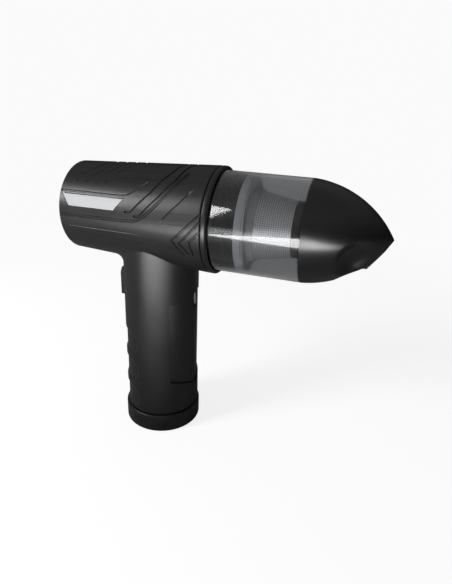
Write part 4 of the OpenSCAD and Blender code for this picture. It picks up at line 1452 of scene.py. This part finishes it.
@dataclass
class Studio:
    """A pale floor, soft lamps and the camera."""

    camera_at: tuple[float, float, float] = (0.130791, -0.267134, 0.220963)
    azimuth: float = 17.78
    elevation: float = 22.83
    roll: float = 2.38
    lens: float = 29.33
    white: float = 0.956
    floor_paint: float = 0.36
    floor_glow: float = 0.82
    shadow_room: Place = (0.25, 0.6)
    room: Colour = (0.02, 0.02, 0.021)
    ceiling: Colour = (0.24, 0.24, 0.245)

    def camera(self) -> None:
        """Sets up the camera with its slight roll."""
        az, el, roll = (math.radians(a) for a in (self.azimuth, self.elevation, self.roll))
        back = Vector((math.sin(az) * math.cos(el), -math.cos(az) * math.cos(el), math.sin(el)))
        right = Vector((math.cos(az), math.sin(az), 0))
        up = back.cross(right)
        across = right * math.cos(roll) + up * math.sin(roll)
        upwards = up * math.cos(roll) - right * math.sin(roll)
        turn = Matrix((across, upwards, back)).transposed()
        data = bpy.data.cameras.new("camera")
        data.lens = self.lens
        data.sensor_width = 36
        camera = bpy.data.objects.new("camera", data)
        bpy.context.collection.objects.link(camera)
        camera.matrix_world = Matrix.Translation(self.camera_at) @ turn.to_4x4()
        bpy.context.scene.camera = camera

    def floor(self) -> bpy.types.Object:
        """Lays the floor, which keeps the object's shadow but looks near white.

        Returns:
            The floor.
        """
        bpy.ops.object.select_all(action="DESELECT")
        bpy.ops.mesh.primitive_plane_add(size=12, location=(0, 0, 0))
        floor = bpy.context.active_object
        floor.name = floor.data.name = "floor"
        recipe = Recipe("pale_floor")
        recipe.set_shader(Roughness=0.9, Specular_IOR_Level=0.0)
        paint = self.floor_paint
        recipe.shader.inputs["Base Color"].default_value = (paint, paint, paint, 1)
        glow = recipe.add("ShaderNodeEmission")
        rays = recipe.add("ShaderNodeLightPath")
        seen = recipe.add("ShaderNodeMath", operation="MAXIMUM")
        recipe.join(rays.outputs["Is Camera Ray"], seen.inputs[0])
        recipe.join(rays.outputs["Is Transmission Ray"], seen.inputs[1])
        level = recipe.add("ShaderNodeMath", operation="MULTIPLY")
        level.inputs[1].default_value = self.floor_glow
        recipe.join(seen.outputs["Value"], level.inputs[0])
        recipe.join(level.outputs["Value"], glow.inputs["Strength"])
        both = recipe.add("ShaderNodeAddShader")
        recipe.join(recipe.shader.outputs["BSDF"], both.inputs[0])
        recipe.join(glow.outputs["Emission"], both.inputs[1])
        away = recipe.add("ShaderNodeVectorMath", operation="LENGTH")
        recipe.join(recipe.coords.outputs["Object"], away.inputs[0])
        spread = recipe.add("ShaderNodeMapRange", interpolation_type="SMOOTHSTEP")
        spread.inputs["From Min"].default_value, spread.inputs["From Max"].default_value = self.shadow_room
        recipe.join(away.outputs["Value"], spread.inputs["Value"])
        share = recipe.add("ShaderNodeMath", operation="MULTIPLY")
        recipe.join(spread.outputs["Result"], share.inputs[0])
        recipe.join(seen.outputs["Value"], share.inputs[1])
        plain = recipe.add("ShaderNodeEmission")
        plain.inputs["Strength"].default_value = self.white
        mix = recipe.add("ShaderNodeMixShader")
        recipe.join(share.outputs["Value"], mix.inputs[0])
        recipe.join(both.outputs["Shader"], mix.inputs[1])
        recipe.join(plain.outputs["Emission"], mix.inputs[2])
        recipe.join(mix.outputs["Shader"], recipe.output.inputs["Surface"])
        floor.data.materials.append(recipe.material)
        return floor

    def lamp(self, name: str, at: Colour, aim: Colour, size: Place, power: float) -> None:
        """Adds a soft area lamp that isn't seen itself.

        Args:
            name: The lamp's name.
            at: Where it stands.
            aim: What it shines at.
            size: Its width and height.
            power: Its power in watts.
        """
        data = bpy.data.lights.new(name, "AREA")
        data.shape = "RECTANGLE"
        data.size, data.size_y = size
        data.energy = power
        lamp = bpy.data.objects.new(name, data)
        bpy.context.collection.objects.link(lamp)
        lamp.location = at
        lamp.rotation_euler = (Vector(aim) - Vector(at)).to_track_quat("-Z", "Y").to_euler()
        lamp.visible_camera = False

    def world(self) -> None:
        """Lights the room softly, dim at eye level and brighter above, with white past the floor."""
        world = bpy.data.worlds.new("room")
        bpy.context.scene.world = world
        world.use_nodes = True
        tree = world.node_tree
        tree.nodes.clear()
        coords = tree.nodes.new("ShaderNodeTexCoord")
        split = tree.nodes.new("ShaderNodeSeparateXYZ")
        tree.links.new(coords.outputs["Generated"], split.inputs["Vector"])
        ramp = tree.nodes.new("ShaderNodeValToRGB")
        ramp.color_ramp.elements[0].position = 0.2
        ramp.color_ramp.elements[0].color = (*self.room, 1)
        ramp.color_ramp.elements[1].position = 0.75
        ramp.color_ramp.elements[1].color = (*self.ceiling, 1)
        tree.links.new(split.outputs["Z"], ramp.inputs["Fac"])
        room = tree.nodes.new("ShaderNodeBackground")
        tree.links.new(ramp.outputs["Color"], room.inputs["Color"])
        seen = tree.nodes.new("ShaderNodeBackground")
        seen.inputs["Color"].default_value = (self.white, self.white, self.white, 1)
        rays = tree.nodes.new("ShaderNodeLightPath")
        either = tree.nodes.new("ShaderNodeMath")
        either.operation = "MAXIMUM"
        tree.links.new(rays.outputs["Is Camera Ray"], either.inputs[0])
        tree.links.new(rays.outputs["Is Transmission Ray"], either.inputs[1])
        mix = tree.nodes.new("ShaderNodeMixShader")
        tree.links.new(either.outputs["Value"], mix.inputs[0])
        tree.links.new(room.outputs["Background"], mix.inputs[1])
        tree.links.new(seen.outputs["Background"], mix.inputs[2])
        output = tree.nodes.new("ShaderNodeOutputWorld")
        tree.links.new(mix.outputs["Shader"], output.inputs["Surface"])

    def build(self) -> None:
        """Sets up the whole studio."""
        bpy.context.scene.view_settings.view_transform = "Standard"
        self.camera()
        self.floor()
        middle = (0.02, 0.0, 0.12)
        self.lamp("key_softbox", (-0.64, -0.62, 0.57), middle, (0.26, 0.4), 6.0)
        self.lamp("low_glow", (0.12, -1.15, 0.004), (0.12, -1.15, 1.0), (0.75, 1.6), 56.0)
        self.world()


# ---------------------------------------------------------------- assembly


def report(piece: bpy.types.Object) -> None:
    """Logs a finished piece."""
    LOG.info("%s: %d faces", piece.name, len(piece.data.polygons))


def main() -> None:
    """Builds every sub-assembly around the frame."""
    logging.basicConfig(level=logging.INFO, format="%(name)s: %(message)s")
    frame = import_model()
    studio = Studio()
    studio.build()
    shop = PaintShop()
    shop.coat_nodes(frame)
    pieces = Casing().build(shop)
    pieces.append(Badge().build(shop))
    pieces += [moulded.build(shop) for moulded in MOULDED_PIECES]
    pieces.append(Cup().build(shop))
    pieces.append(SealBand().build(shop))
    pieces += Filter().build(shop)
    pieces.append(Nozzle().build(shop))
    for piece in pieces:
        report(piece)


if __name__ == "__main__":
    main()
